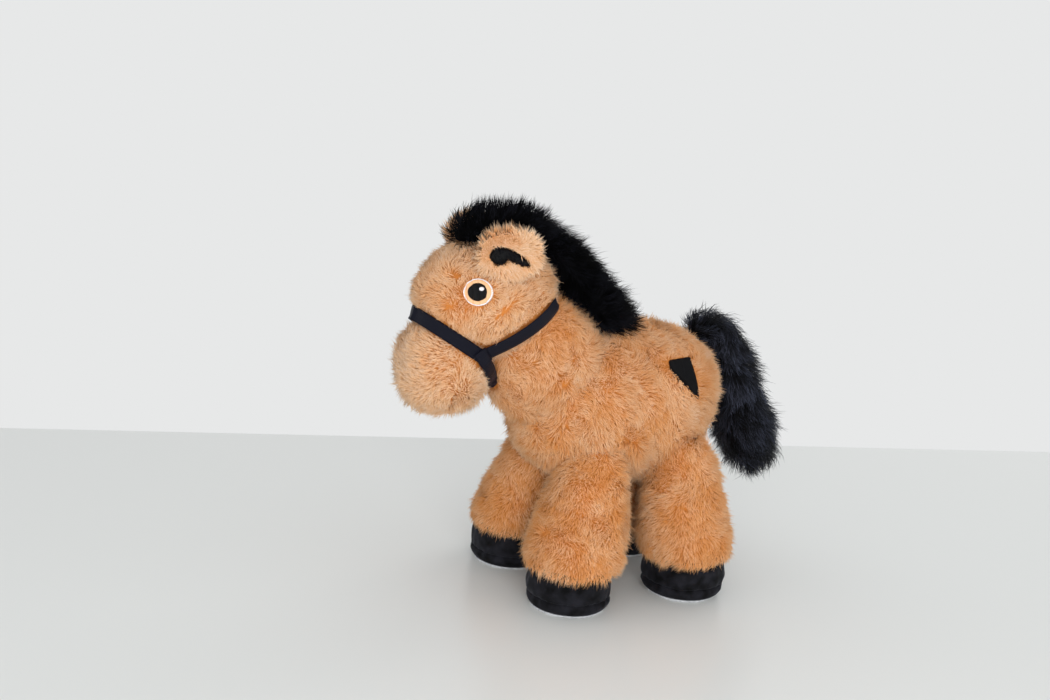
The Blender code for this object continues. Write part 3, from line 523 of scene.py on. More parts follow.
def new_piece(name, points, groups, look, uv=None, uv_name="OFBake"):
    """A mesh piece from whole arrays: points, groups of equal-sided faces and a map for each corner.
    All faces are turned round together where the volume that they enclose comes out negative."""
    points = np.asarray(points, float)
    volume = 0.0
    for group in groups:
        corner = points[group] - points.mean(axis=0)
        for second in range(1, group.shape[1] - 1):
            turned = np.cross(corner[:, second], corner[:, second + 1])
            volume += (corner[:, 0] * turned).sum()
    if volume < 0:
        groups = [group[:, ::-1] for group in groups]
        uv = None if uv is None else [part[:, ::-1] for part in uv]
    mesh = bpy.data.meshes.new(name)
    corners = np.concatenate([group.ravel() for group in groups]).astype(np.int32)
    sizes = np.concatenate([np.full(len(group), group.shape[1]) for group in groups])
    mesh.vertices.add(len(points))
    mesh.vertices.foreach_set("co", points.astype(np.float32).ravel())
    mesh.loops.add(len(corners))
    mesh.loops.foreach_set("vertex_index", corners)
    mesh.polygons.add(len(sizes))
    mesh.polygons.foreach_set("loop_start", np.concatenate(([0], np.cumsum(sizes)[:-1])).astype(np.int32))
    mesh.update(calc_edges=True)
    if uv is not None:
        layer = mesh.uv_layers.new(name=uv_name)
        layer.data.foreach_set("uv", np.concatenate([part.ravel() for part in uv]).astype(np.float32))
    mesh.shade_smooth()
    mesh.materials.append(LOOKS[look])
    return new_object(name, mesh)


def tube_faces(rings, sides):
    """Quads round a tube of rings, then triangles to a last and a next-to-last point that close it."""
    row, column = np.meshgrid(np.arange(rings - 1), np.arange(sides), indexing="ij")
    after = (column + 1) % sides
    low, high = row * sides, (row + 1) * sides
    quads = np.stack([low + column, low + after, high + after, high + column], axis=-1).reshape(-1, 4)
    column = np.arange(sides)
    after = (column + 1) % sides
    start, stop = rings * sides, rings * sides + 1
    last = (rings - 1) * sides
    near = np.stack([after, column, np.full(sides, start)], axis=-1)
    far = np.stack([last + column, last + after, np.full(sides, stop)], axis=-1)
    return [quads, near, far]


def closed_tube(name, rings, ends, look, lay=None):
    """A closed surface from rings (count, sides, 3) and two end points, with a Lay map if one is given."""
    count, sides, _ = rings.shape
    points = np.vstack([rings.reshape(-1, 3), ends])
    groups = tube_faces(count, sides)
    uv = None if lay is None else [lay[group] for group in groups]
    return new_piece(name, points, groups, look, uv, "Lay")


NOISE_WAVES = 14


def noise(points, length, seed):
    """Smooth noise of unit spread: sines in random directions whose wavelengths are near a length."""
    dice = np.random.default_rng(seed)
    heading = unit(dice.normal(size=(NOISE_WAVES, 3))) * dice.uniform(0.6, 1.5, (NOISE_WAVES, 1))
    phase = dice.uniform(0, 2 * math.pi, NOISE_WAVES)
    waves = np.sin(points @ (heading * 2 * math.pi / length).T + phase)
    return waves.sum(axis=-1) / math.sqrt(NOISE_WAVES / 2)


def drift(points, length, seed):
    """Three such noises at each point, as a vector."""
    return np.stack([noise(points, length, seed + k) for k in range(3)], axis=-1)


# Slots of the record
TAN_FUR, LONG_BLACK, VELVET, FELT = "tan_plush_fur", "black_long_pile", "black_velvet", "grey_sole_felt"
RIBBON, LABEL, BLACK_THREAD = "black_satin_ribbon", "black_woven_label", "black_embroidery_thread"


def place_piece(piece, body, slot, node, blend=None, fill=None):
    """Hangs a piece on the body that it rides on, or bakes its place into its mesh where a blend is given,
    and hides the solid that it stands for. slot and fill are not used.
    """
    if blend:
        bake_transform(piece)
    else:
        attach(piece, body)
    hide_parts(node)


def skin(name, form, inset, look, rings=44, sides=56, wobble=0.5 * MM):
    """The stuffed backing of a form: its loft drawn in by the pile, with slow dents of a soft filling."""
    s = np.linspace(0, 1, rings + 2)[1:-1]
    a = circle(sides)
    grid = form.surface(*np.meshgrid(s, a, indexing="ij"), inset)
    outward = unit(grid - form.centre_line(s)[:, None])
    grid = grid + outward * (noise(grid, 30 * MM, 5) * wobble)[..., None]
    poles = form.surface(np.array((0.0, 1.0)), np.zeros(2), inset)
    return closed_tube(name, grid, poles, look)


# Widths of a strand's rings, by its steps, and how far its shading takes the skin's normal
STRAND_WIDTH_SHARES = {2: (1.0,), 3: (1.0, 0.75)}
SKIN_SHADING = 0.5
FACES_A_PIECE = 180000


def strands(name, paths, normals, radius, tone, look):
    """Closed three-sided spindles, pointed at both ends. paths (count, steps + 1, 3) run from root to tip.
    normals are those of the skin at their roots, and the strands are shaded towards them, so that the
    pile looks soft. On its map u is the strand's tone and v its share from root to tip."""
    count, steps = paths.shape[0], paths.shape[1] - 1
    rings = steps - 1
    ahead = unit(paths[:, 2:] - paths[:, :-2])
    helper = np.where(np.abs(ahead[:, :1, 2:]) < 0.9, (0.0, 0.0, 1.0), (1.0, 0.0, 0.0))
    side = np.repeat(unit(np.cross(ahead[:, :1], helper)), rings, axis=1)
    other = unit(np.cross(ahead, side))
    side = np.cross(other, ahead)
    turn = 2 * math.pi * np.arange(3) / 3
    width = radius[:, None, None, None] * np.array(STRAND_WIDTH_SHARES[steps])[None, :, None, None]
    round_it = np.cos(turn)[:, None] * side[:, :, None] + np.sin(turn)[:, None] * other[:, :, None]
    around = (paths[:, 1:-1, None] + round_it * width).reshape(count, -1, 3)
    points = np.concatenate([paths[:, :1], around, paths[:, -1:]], axis=1)
    size = 3 * rings + 2
    low, corner = np.meshgrid(np.arange(rings - 1), np.arange(3), indexing="ij")
    after = (corner + 1) % 3
    near, far = 1 + 3 * low, 4 + 3 * low
    first = np.stack([near + corner, near + after, far + after], axis=-1).reshape(-1, 3)
    second = np.stack([near + corner, far + after, far + corner], axis=-1).reshape(-1, 3)
    corner, after = np.arange(3), (np.arange(3) + 1) % 3
    root = np.stack([np.zeros(3, int), 1 + after, 1 + corner], axis=-1)
    tip = np.stack([size - 4 + corner, size - 4 + after, np.full(3, size - 1)], axis=-1)
    local = np.concatenate([root, first, second, tip])
    faces = (local[None] + (np.arange(count) * size)[:, None, None]).reshape(-1, 3)
    across = np.concatenate([[0.0], np.tile((-0.5, 0.0, 0.5), rings), [0.0]])[local] / 128
    share = np.concatenate([[0.0], np.repeat(np.arange(1, steps) / steps, 3), [1.0]])[local]
    uv = np.empty((count, len(local), 3, 2), np.float32)
    uv[..., 0] = np.clip(tone, 0.01, 0.99)[:, None, None] + across
    uv[..., 1] = share
    piece = new_piece(name, points.reshape(-1, 3), [faces], look, [uv.reshape(-1, 3, 2)])
    own = np.concatenate([-ahead[:, :1], round_it.reshape(count, -1, 3), ahead[:, -1:]], axis=1)
    shaded = unit(SKIN_SHADING * normals[:, None] + (1 - SKIN_SHADING) * own)
    piece.data.normals_split_custom_set_from_vertices(shaded.reshape(-1, 3))
    return piece


def strand_pieces(stem, paths, normals, radius, tone, look, **placed):
    """Strands in as many pieces as keep each under the face limit, sliced along the horse and placed."""
    faces = len(paths) * 6 * (paths.shape[1] - 2)
    parts = max(1, math.ceil(faces / FACES_A_PIECE))
    order = np.argsort(paths[:, 0, 0], kind="stable")
    for number, rows in enumerate(np.array_split(order, parts)):
        name = stem if parts == 1 else f"{stem}_{number + 1}"
        place_piece(strands(name, paths[rows], normals[rows], radius[rows], tone[rows], look), **placed)


def gap_to(points, line):
    """Distance from each point to the nearest point of a line, and the direction away from it."""
    offset = points[:, None, :] - np.asarray(line)[None]
    nearest = (offset**2).sum(axis=-1).argmin(axis=1)
    away = offset[np.arange(len(points)), nearest]
    return np.linalg.norm(away, axis=1), away


def tangent(vectors, normals):
    """Vectors less their part along the normals, scaled to length one."""
    return unit(vectors - (vectors * normals).sum(axis=-1, keepdims=True) * normals)


# Wavelengths of the pile's swirls, of how low it lies and of its tones
SWIRLS, SMALL_SWIRLS = 38 * MM, 14 * MM
LAYS, SMALL_LAYS = 33 * MM, 9 * MM
TONES, SMALL_TONES = 46 * MM, 13 * MM
DRAPE_REACH = 9 * MM
ROOT_DEPTH = 0.8 * MM
TILTS = (0.15, 1.35)


def bend_tufts(dice, root, normal, heading, tilt, tall, tuft, steps, spread, gather, stray, ragged):
    """Curves (count, tuft, steps + 1, 3) of the strands of each tuft, where tilt, heading and tall give the
    tuft's tip. A strand's base is spread about the root. Its curve is the quadratic one from the base over
    a bend, half its length up and a fifth ahead, to its own end, which is drawn to the tip by gather."""
    count = len(root)
    tip = root + tall[:, None] * (np.cos(tilt)[:, None] * normal + np.sin(tilt)[:, None] * heading)
    scatter = dice.normal(size=(count, tuft, 2)) * spread
    side = np.cross(normal, heading)
    base = root[:, None] + heading[:, None] * scatter[..., :1] + side[:, None] * scatter[..., 1:]
    own = unit(heading[:, None] + dice.normal(size=(count, tuft, 3)) * stray)
    tilts = (tilt[:, None] + dice.normal(size=(count, tuft)) * 0.16)[..., None]
    reach = (tall[:, None] * dice.uniform(*ragged, (count, tuft)))[..., None]
    end = base + reach * (np.cos(tilts) * normal[:, None] + np.sin(tilts) * own)
    end = end + (tip[:, None] - end) * gather * dice.uniform(0.5, 1.2, (count, tuft, 1))
    bend = base + reach * (0.5 * normal[:, None] + 0.2 * own)
    base = base - normal[:, None] * ROOT_DEPTH
    u = np.arange(steps + 1)[:, None] / steps
    base, bend, end = base[..., None, :], bend[..., None, :], end[..., None, :]
    return (1 - u) ** 2 * base + 2 * u * (1 - u) * bend + u**2 * end


def pile(name, form, look, inset, length, lean, flow, swirl, density, radius, seed, tuft=5, steps=2,
         spread=1.0 * MM, gather=0.30, stray=0.4, ragged=(0.75, 1.12), mottle=0.09, tone=0.36,
         others=(), clear=(), parting=8 * MM, drape=(), **placed):
    """Pile on a form: tufts of strands rooted on its skin, density to a square metre.

    A tuft leans from the normal towards its direction, the flow plus slow swirls, and lies lower in some
    patches than in others. bend_tufts gives its strands, where stray turns each aside and their lengths
    lie between the ragged shares. Length and flow may be functions of the roots. Tone is the mean share
    of the light colours, and mottle is how far it changes from tuft to tuft. others are (form, inset)
    pairs whose insides stay free of roots. clear are (points, radius) pairs that no strand comes near;
    the pile parts away from them over the parting. Near the drape forms it is longer and hangs down
    over them.
    """
    dice = np.random.default_rng(seed)
    s, a = form.scatter(density / tuft, inset, dice)
    root, normal = form.surface(s, a, inset), form.facing(s, a, inset)
    keep = np.ones(len(s), bool)
    for other, depth in others:
        keep &= ~other.holds(root, depth)
    root, normal = root[keep], normal[keep]
    count = len(root)
    ahead = flow(root) if callable(flow) else np.tile(np.asarray(flow, float), (count, 1))
    heading = ahead + swirl * (drift(root, SWIRLS, seed) + 0.25 * drift(root, SMALL_SWIRLS, seed + 7))
    tall = length(root) if callable(length) else np.full(count, length)
    longest = tall.max()
    tall = tall * (1 + 0.10 * noise(root, 12 * MM, seed + 3)) * dice.uniform(0.9, 1.1, count)
    low_lying = noise(root, LAYS, seed + 5) + 0.6 * noise(root, SMALL_LAYS, seed + 6)
    tilt = lean + 0.22 * low_lying + dice.normal(size=count) * 0.07
    for other in drape:
        over = other.holds(root, -DRAPE_REACH)
        heading[over] += 2.0 * DOWN
        tall[over] *= 1.35
        tilt[over] += 0.25
    heading = tangent(heading, normal)
    gaps = []
    for line, wide in clear:
        gap, away = gap_to(root, line)
        gaps.append(gap)
        near = np.clip(1 - (gap - wide) / parting, 0, 1)[:, None]
        heading = tangent(heading + 3 * near * unit(away), normal)
        tall = tall * (1 - 0.25 * near[:, 0])
    tilt = np.clip(tilt, *TILTS)
    path = bend_tufts(dice, root, normal, heading, tilt, tall, tuft, steps, spread, gather, stray, ragged)
    patch = noise(root, TONES, seed + 11) * 0.09 + noise(root, SMALL_TONES, seed + 12) * mottle
    tuft_tone = tone + patch[:, None] + dice.normal(size=(count, 1)) * mottle
    tones = tuft_tone + dice.normal(size=(count, tuft)) * 0.10
    keep = np.ones((count, tuft), bool)
    for (line, wide), gap in zip(clear, gaps):
        rows = np.flatnonzero(gap < wide + 1.3 * longest)
        for point in range(steps + 1):
            found = gap_to(path[rows, :, point].reshape(-1, 3), line)[0]
            keep[rows] &= found.reshape(len(rows), tuft) > wide
    thick = radius * dice.uniform(0.75, 1.2, (count, tuft))
    normals = np.repeat(normal[:, None], tuft, axis=1)
    strand_pieces(name, path[keep], normals[keep], thick[keep], tones[keep], look, **placed)


RAY_STEPS = 40


def outermost(origins, directions, forms, inset, far):
    """Distance along each ray at which it last lies inside any form: even steps, then halving."""

    def inside(reach):
        points = (origins[:, None] + directions[:, None] * reach[..., None]).reshape(-1, 3)
        return np.any([form.holds(points, inset) for form in forms], axis=0).reshape(reach.shape)

    reach = np.tile(np.linspace(0, far, RAY_STEPS), (len(origins), 1))
    last = RAY_STEPS - 1 - inside(reach)[:, ::-1].argmax(axis=1)
    low = reach[np.arange(len(origins)), last]
    high = low + far / (RAY_STEPS - 1)
    for _ in range(8):
        middle = (low + high) / 2
        held = inside(middle[:, None])[:, 0]
        low, high = np.where(held, middle, low), np.where(held, high, middle)
    return low


# How far each kind of form's skin is drawn in by its pile
SKIN_INSET = {
    "torso": 5 * MM, "neck": 5 * MM, "head": 5.6 * MM, "muzzle": 5.4 * MM, "leg": 5 * MM, "ear": 3.7 * MM,
}

# Eyes, halter and label: where they lie, as shares of the head's and torso's sizes
EYE_SHARE = (-0.21, 0.13)
EYE_INSET = 2.4 * MM
EYE_CLEAR = 9.8 * MM
HALTER_JOINT = route(HEAD_CENTRE, HEAD_SIZE, ((-0.115, -0.40),))[0]
HALTER_SHARES = ((-0.51, -0.12), (0.06, -0.66), (0.37, -0.03))
NOSE_END, CHIN_END, CHEEK_END = route(HEAD_CENTRE, HEAD_SIZE, HALTER_SHARES)
LABEL_AIM = route(TORSO_CENTRE, TORSO_SIZE, ((0.205, 0.22),))[0]
LABEL_SIZE = np.array((26, 37)) * MM
LABEL_INSET = 3.2 * MM
LABEL_LEAN = math.radians(6)
# The open part's front edge slants back with height between these two places from the label's middle
LABEL_FRONTS = (-13 * MM, 10.5 * MM)
LABEL_SLANT = 0.80
LABEL_SLANT_START = -17 * MM
# The ribbon is drawn a millimetre wider than its solid, because the pile hides its edges
RIBBON_WIDTH = 10.6 * MM
RIBBON_THICKNESS = 0.9 * MM
RIBBON_LANES = np.array((-1, -0.55, 0, 0.55, 1))
STRAP_INSET = 1.1 * MM
STRAP_TURNS = np.radians(np.linspace(125, -125, 101))
STRAP_WINDOW = np.hanning(19)
OVER_REACH = 11 * MM


def travel(points):
    """Distance along a line of points from its first to each."""
    return np.concatenate(([0], np.cumsum(np.linalg.norm(np.diff(points, axis=0), axis=1))))


def side_place(aim, side, forms, inset):
    """Point on the forms where a line along Y leaves them on one side, and the outward normal there."""
    facing = np.array((0.0, SIDES[side], 0.0))
    step = 2 * MM
    aims = aim + np.array(((0, 0, 0), (step, 0, 0), (0, 0, step)))
    reach = outermost(aims, np.tile(facing, (3, 1)), forms, inset, 90 * MM)
    points = aims + facing * reach[:, None]
    normal = unit(np.cross(points[1] - points[0], points[2] - points[0]))
    return points[0], normal * np.sign(normal @ facing)


def strap_paths(stop, lanes, over):
    """Points round the head in the slab through the halter's joint, from its left side to its right, one
    row for each lane across the strap. Each lane is drawn out towards the outermost, as the strap
    bridges the hollow between head and muzzle, and over a little of the over forms."""
    ahead = unit(stop - HALTER_JOINT)
    width = np.array((ahead[2], 0.0, -ahead[0]))
    turn = STRAP_TURNS[:, None]
    rays = np.cos(turn) * ahead - np.sin(turn) * np.array((0.0, 1.0, 0.0))
    reaches = []
    for lane in lanes:
        starts = np.tile(HALTER_JOINT + width * lane, (len(turn), 1))
        reach = outermost(starts, rays, (HEAD, MUZZLE), STRAP_INSET, 100 * MM)
        if over:
            farther = outermost(starts, rays, (HEAD, MUZZLE, *over), STRAP_INSET, 100 * MM)
            reach = np.minimum(farther, reach + OVER_REACH)
        padded = np.pad(reach, len(STRAP_WINDOW) // 2, mode="edge")
        smooth = np.convolve(padded, STRAP_WINDOW / STRAP_WINDOW.sum(), "valid")
        reaches.append(np.maximum(smooth, 0.5 * (reach + smooth)))
    reaches = np.array(reaches)
    reaches = 0.35 * reaches + 0.65 * reaches.max(axis=0)
    starts = HALTER_JOINT + lanes[:, None] * width
    return starts[:, None] + rays * reaches[..., None], ahead, width


def ribbon(stem, stop, room, side=None, width=RIBBON_WIDTH, start_at=-3 * MM, stop_at=None, lift=0.0,
           thick=RIBBON_THICKNESS, over=()):
    """A strap of the halter: lanes across its width, each laid on the head and lifted, made a thin closed
    band. It holds the points, of both sides or one, whose distance ahead of the joint is between start_at
    and stop_at. Returns its middle line and the radius that the pile is parted from, which is half a
    ribbon and room."""
    lanes = []
    paths, ahead, across = strap_paths(stop, RIBBON_LANES * width / 2, over)
    for path in paths:
        progress = (path - HALTER_JOINT) @ ahead
        keep = progress >= start_at
        if stop_at is not None:
            keep &= progress <= stop_at
        if side is not None:
            keep &= path[:, 1] * SIDES[side] > 0
        path = path[keep]
        length = travel(path)
        even = np.linspace(0, length[-1], 72 if stop_at is None else 40)
        lanes.append(np.stack([np.interp(even, length, path[:, k]) for k in range(3)], axis=-1))
    grid = np.stack(lanes, axis=1)
    along = unit(np.gradient(grid, axis=0))
    normal = unit(np.cross(along, across))
    normal *= np.sign((normal * (grid - HALTER_JOINT)).sum(axis=-1, keepdims=True))
    edge = np.array((0.55, 1, 1, 1, 0.55))[None, :, None] * thick / 2
    grid = grid + normal * lift
    loop = np.concatenate([grid + normal * edge, (grid - normal * edge)[:, ::-1]], axis=1)
    ends = np.stack([loop[0].mean(axis=0), loop[-1].mean(axis=0)])
    middle = grid[:, 2]
    offset = np.concatenate([RIBBON_LANES, RIBBON_LANES[::-1]]) * width / 2
    lay = np.stack(np.broadcast_arrays(travel(middle)[:, None], offset[None]), axis=-1).reshape(-1, 2)
    lay = np.vstack([lay, lay[:1], lay[-1:]])
    place_piece(closed_tube(stem + "_ribbon", loop, ends, "ribbon", lay), "head", RIBBON, stem)
    return middle, RIBBON_WIDTH / 2 + room


def build_halter():
    """Noseband, chin strap and cheek straps of one ribbon width, with a folded overlap over each joint.
    Returns the lines that the pile is parted from."""
    lines = [
        ribbon("halter_noseband", NOSE_END, 0.1 * MM),
        ribbon("halter_chin_strap", CHIN_END, 0.6 * MM, over=(NECK,)),
    ]
    cheek = np.linalg.norm(CHEEK_END - HALTER_JOINT) + 10 * MM
    fold = dict(width=11.5 * MM, start_at=-6.5 * MM, stop_at=6.5 * MM, lift=1.6 * MM, thick=1.8 * MM)
    for side in SIDES:
        strap = f"halter_cheek_strap_{side}"
        lines.append(ribbon(strap, CHEEK_END, 1.4 * MM, side, stop_at=cheek, lift=0.3 * MM))
        lines.append(ribbon(f"halter_fold_{side}", CHIN_END, 1.2 * MM, side, over=(NECK,), **fold))
    return lines


def patch_axes(normal):
    """Directions aside and upright in the plane across a normal."""
    upright = unit(UP - normal * normal[2])
    return np.cross(upright, normal), upright


def patch_points(centre, normal, offsets, forms, inset):
    """Points of a flat patch pressed onto the forms along its normal."""
    flat = centre + offsets @ np.stack(patch_axes(normal))
    depth = 20 * MM
    reach = outermost(flat - normal * depth, np.tile(normal, (len(flat), 1)), forms, inset, 2 * depth)
    return flat + normal * (reach - depth)[:, None]


def stitched_disc(name, centre, normal, inner, outer, rise, depth, look, shift):
    """A pad of thread on the head: a ring, or a disc where inner is zero, crowned by rise and sunk by
    depth. Its section runs out over the crown, a power of sin(pi q) or for a disc of cos(pi q / 2), and
    back below."""
    sides = 64
    turn = circle(sides)
    share = np.linspace(0, 1, 9)
    if inner == 0:
        share = share[1:]
        crown = rise * np.cos(math.pi / 2 * share * 0.94) ** 0.6
    else:
        crown = rise * np.sin(math.pi * (0.08 + 0.84 * share)) ** 0.6
    spread = inner + (outer - inner) * share
    spread = np.concatenate([spread, spread[::-1]])
    height = np.concatenate([crown, np.full(len(share), -depth)])
    if inner == 0:
        spread, height = spread[:-1], height[:-1]
    offsets = np.stack([np.outer(spread, np.cos(turn)), np.outer(spread, np.sin(turn))], axis=-1)
    flat = (offsets + np.array(shift)).reshape(-1, 2)
    grid = patch_points(centre, normal, flat, (HEAD,), EYE_INSET).reshape(len(spread), sides, 3)
    grid = grid + normal * height[:, None, None]
    if inner == 0:
        hub = patch_points(centre, normal, np.array((shift,)), (HEAD,), EYE_INSET)
        ends = np.vstack([hub + normal * rise, hub - normal * depth])
        return closed_tube(name, grid, ends, look, np.vstack([flat, np.zeros((2, 2))]))
    around = np.tile(turn * (inner + outer) / 2, (len(spread), 1))
    lay = np.stack([np.broadcast_to(spread[:, None], around.shape), around], axis=-1).reshape(-1, 2)
    row, column = np.meshgrid(np.arange(len(spread)), np.arange(sides), indexing="ij")
    under, after = (row + 1) % len(spread) * sides, (column + 1) % sides
    row = row * sides
    faces = np.stack([row + column, row + after, under + after, under + column], axis=-1).reshape(-1, 4)
    return new_piece(name, grid.reshape(-1, 3), [faces], look, [lay[faces]], "Lay")


def build_eye(side):
    """A stitched eye: white outline, amber iris, black pupil and a white catch-light. Returns its middle
    as a line of one point."""
    aim = route(HEAD_CENTRE, HEAD_SIZE, (EYE_SHARE,))[0]
    centre, normal = side_place(aim, side, (HEAD,), EYE_INSET)
    deep = SKIN_INSET["head"] - EYE_INSET
    glint = np.array((2.7 * -SIDES[side], 2.7)) * MM
    # Piece, inner and outer radius and rise in millimetres, depth, thread and shift
    rows = (
        ("eye_white_ring", 9.65, 10.5, 0.4, deep, "white", (0, 0)),
        ("eye_iris_ring", 6.95, 9.55, 0.6, deep, "amber", (0, 0)),
        ("eye_pupil", 0, 6.95, 1.5, deep, "black", (0, 0)),
        ("eye_glint", 0, 1.9, 2.0, 0, "white", glint),
    )
    for stem, inner, outer, rise, sunk, look, shift in rows:
        name = f"{stem}_{side}"
        sizes = inner * MM, outer * MM, rise * MM, sunk
        piece = stitched_disc(name + "_stitched", centre, normal, *sizes, look, shift)
        place_piece(piece, "head", f"{look}_embroidery_thread", name)
    return centre[None]


def label_front(height):
    """Front edge of the part of the label that the pile leaves open, at a height from its middle."""
    return np.clip(LABEL_FRONTS[1] - (height - LABEL_SLANT_START) * LABEL_SLANT, *LABEL_FRONTS)


def leaning(x, z):
    """Places on the label, turned by its lean."""
    cosine, sine = math.cos(LABEL_LEAN), math.sin(LABEL_LEAN)
    return np.stack([x * cosine - z * sine, x * sine + z * cosine], axis=-1)


def build_label():
    """The bare woven label: a folded tape sewn on the left of the rump. Its outline is the rounded square
    where |x|^12 + |z|^12 is one, stretched to its size. It sinks under the pile ahead of its open part.
    Returns points of that part and the radius kept clear of pile."""
    centre, normal = side_place(LABEL_AIM, "left", (TORSO,), LABEL_INSET)
    sides, rings = 72, 9
    turn = circle(sides)
    outline = (np.abs(np.cos(turn)) ** 12 + np.abs(np.sin(turn)) ** 12) ** (-1 / 12)
    share = np.linspace(0.1, 1, rings)
    spread = np.concatenate([share, share[::-1]])
    rise = 0.5 * MM * np.concatenate([np.ones(rings - 1), [0.4, -0.4], -np.ones(rings - 1)])
    x = np.outer(spread, outline * np.cos(turn)) * LABEL_SIZE[0] / 2
    z = np.outer(spread, outline * np.sin(turn)) * LABEL_SIZE[1] / 2
    grid = patch_points(centre, normal, leaning(x, z).reshape(-1, 2), (TORSO,), LABEL_INSET)
    sunk = np.clip((label_front(z) - x) * 0.9, 0, 2.6 * MM)
    grid = grid.reshape(len(spread), sides, 3) + normal * (rise[:, None] - sunk)[..., None]
    ends = np.stack([grid[0].mean(axis=0), grid[-1].mean(axis=0)])
    lay = np.vstack([np.stack([x, z], axis=-1).reshape(-1, 2), np.zeros((2, 2))])
    place_piece(closed_tube("rump_label_tape", grid, ends, "label", lay), "body", LABEL, "rump_label")
    share, z = np.meshgrid(np.linspace(0, 1, 10), np.linspace(-0.45, 0.45, 18) * LABEL_SIZE[1])
    front = label_front(z) + 1.5 * MM
    x = front + (0.44 * LABEL_SIZE[0] - front) * share
    open_part = centre + leaning(x.ravel(), z.ravel()) @ np.stack(patch_axes(normal))
    return [(open_part, 2.7 * MM)]


# Profile of a hoof as shares of its radius and height: top, side, groove, piping and foot
HOOF_SHARES = (
    (0.62, 1.00), (0.86, 0.95), (0.95, 0.82), (1.00, 0.55), (1.01, 0.40), (0.985, 0.275),
    (0.945, 0.245), (0.975, 0.20), (0.985, 0.13), (0.95, 0.045), (0.90, 0.0),
)
HOOF_GROOVE = 0.25
SOLE_SHARES = np.array(((0.55, 1.0), (0.96, 1.0), (1.0, 0.75), (1.01, 0.4), (0.985, 0.0), (0.55, 0.0)))


def lathe(spread, height, turn):
    """Points (spread cos(turn), spread sin(turn), height) of a profile turned about Z."""
    places = spread * np.cos(turn), spread * np.sin(turn), height + 0 * turn
    return np.stack(np.broadcast_arrays(*places), axis=-1)


def build_hoof(key):
    """A velvet hoof: a turned profile with a sewn groove above its piping, softened by slow dents and
    by 31 small gathers that fade away from the seam."""
    name = "_".join(key)
    foot = SOLE_THICKNESS + 0.3 * MM
    turn = circle(120)[None, :]
    profile = through(HOOF_SHARES, np.linspace(0, 1, 60))
    spread, rise = profile[:, :1], profile[:, 1:]
    seam = np.exp(-(((rise - HOOF_GROOVE) / 0.11) ** 2))
    gather = 0.30 * MM * seam * np.sin(31 * turn + 2.2 * np.sin(3 * turn) + 5 * ENDS[key[0]])
    grid = lathe(spread * HOOF_RADIUS, rise * (HOOF_HEIGHT - foot) + foot, turn) + HEMS[key]
    dents = 0.55 * MM * noise(grid, 26 * MM, 17) + 0.18 * MM * noise(grid, 9 * MM, 18)
    swell = (dents * np.clip(rise * 6, 0, 1) + gather)[..., None]
    outward = np.concatenate([np.cos(turn), np.sin(turn), 0 * turn], axis=0).T[None]
    grid = grid + outward * swell
    hubs = HEMS[key] + np.array(((0, 0, HOOF_HEIGHT), (0, 0, foot)))
    hoof = closed_tube(f"hoof_{name}_velvet", grid, hubs, "velvet")
    place_piece(hoof, f"leg_{name}", VELVET, f"hoof_{name}", fill=0.8)
    build_sole(key, name)


def build_sole(key, name):
    """A felt sole: a flat disc whose rim swells out a little past the seam here and there."""
    turn = circle(96)
    spread, height = SOLE_SHARES[:, :1] * SOLE_RADIUS, SOLE_SHARES[:, 1:] * SOLE_THICKNESS
    wave = 1 + 0.018 * np.sin(3 * turn + 2 * ENDS[key[0]]) + 0.012 * np.sin(7 * turn)
    hubs = HEMS[key] + np.array(((0, 0, SOLE_THICKNESS), (0, 0, 0)))
    sole = closed_tube(f"sole_{name}_felt", lathe(spread * wave, height, turn) + HEMS[key], hubs, "felt")
    place_piece(sole, f"leg_{name}", FELT, f"sole_{name}")


TAN_PILE = dict(look="plush", length=9 * MM, lean=0.88, density=1.15e6, radius=0.27 * MM)


def stuffed(name, form, kind, body, blend=None):
    """The skin of a stuffed form, which stands for its solid."""
    piece = skin(f"{name}_skin", form, SKIN_INSET[kind], "ear_backing" if kind == "ear" else "backing")
    place_piece(piece, body, TAN_FUR, name, blend, fill=0.85)


def tan_pile(name, form, kind, body, others, blend=None, **own):
    """Tan pile on a stuffed form, with roots outside the others. Its own values go before TAN_PILE's."""
    pile(f"{name}_pile", form, inset=SKIN_INSET[kind], others=others, body=body, slot=TAN_FUR, node=name,
         blend=blend, **{**TAN_PILE, **own})


def drawn_in(kind, *forms):
    """Forms of a kind, each with the inset of its skin."""
    return [(form, SKIN_INSET[kind]) for form in forms]


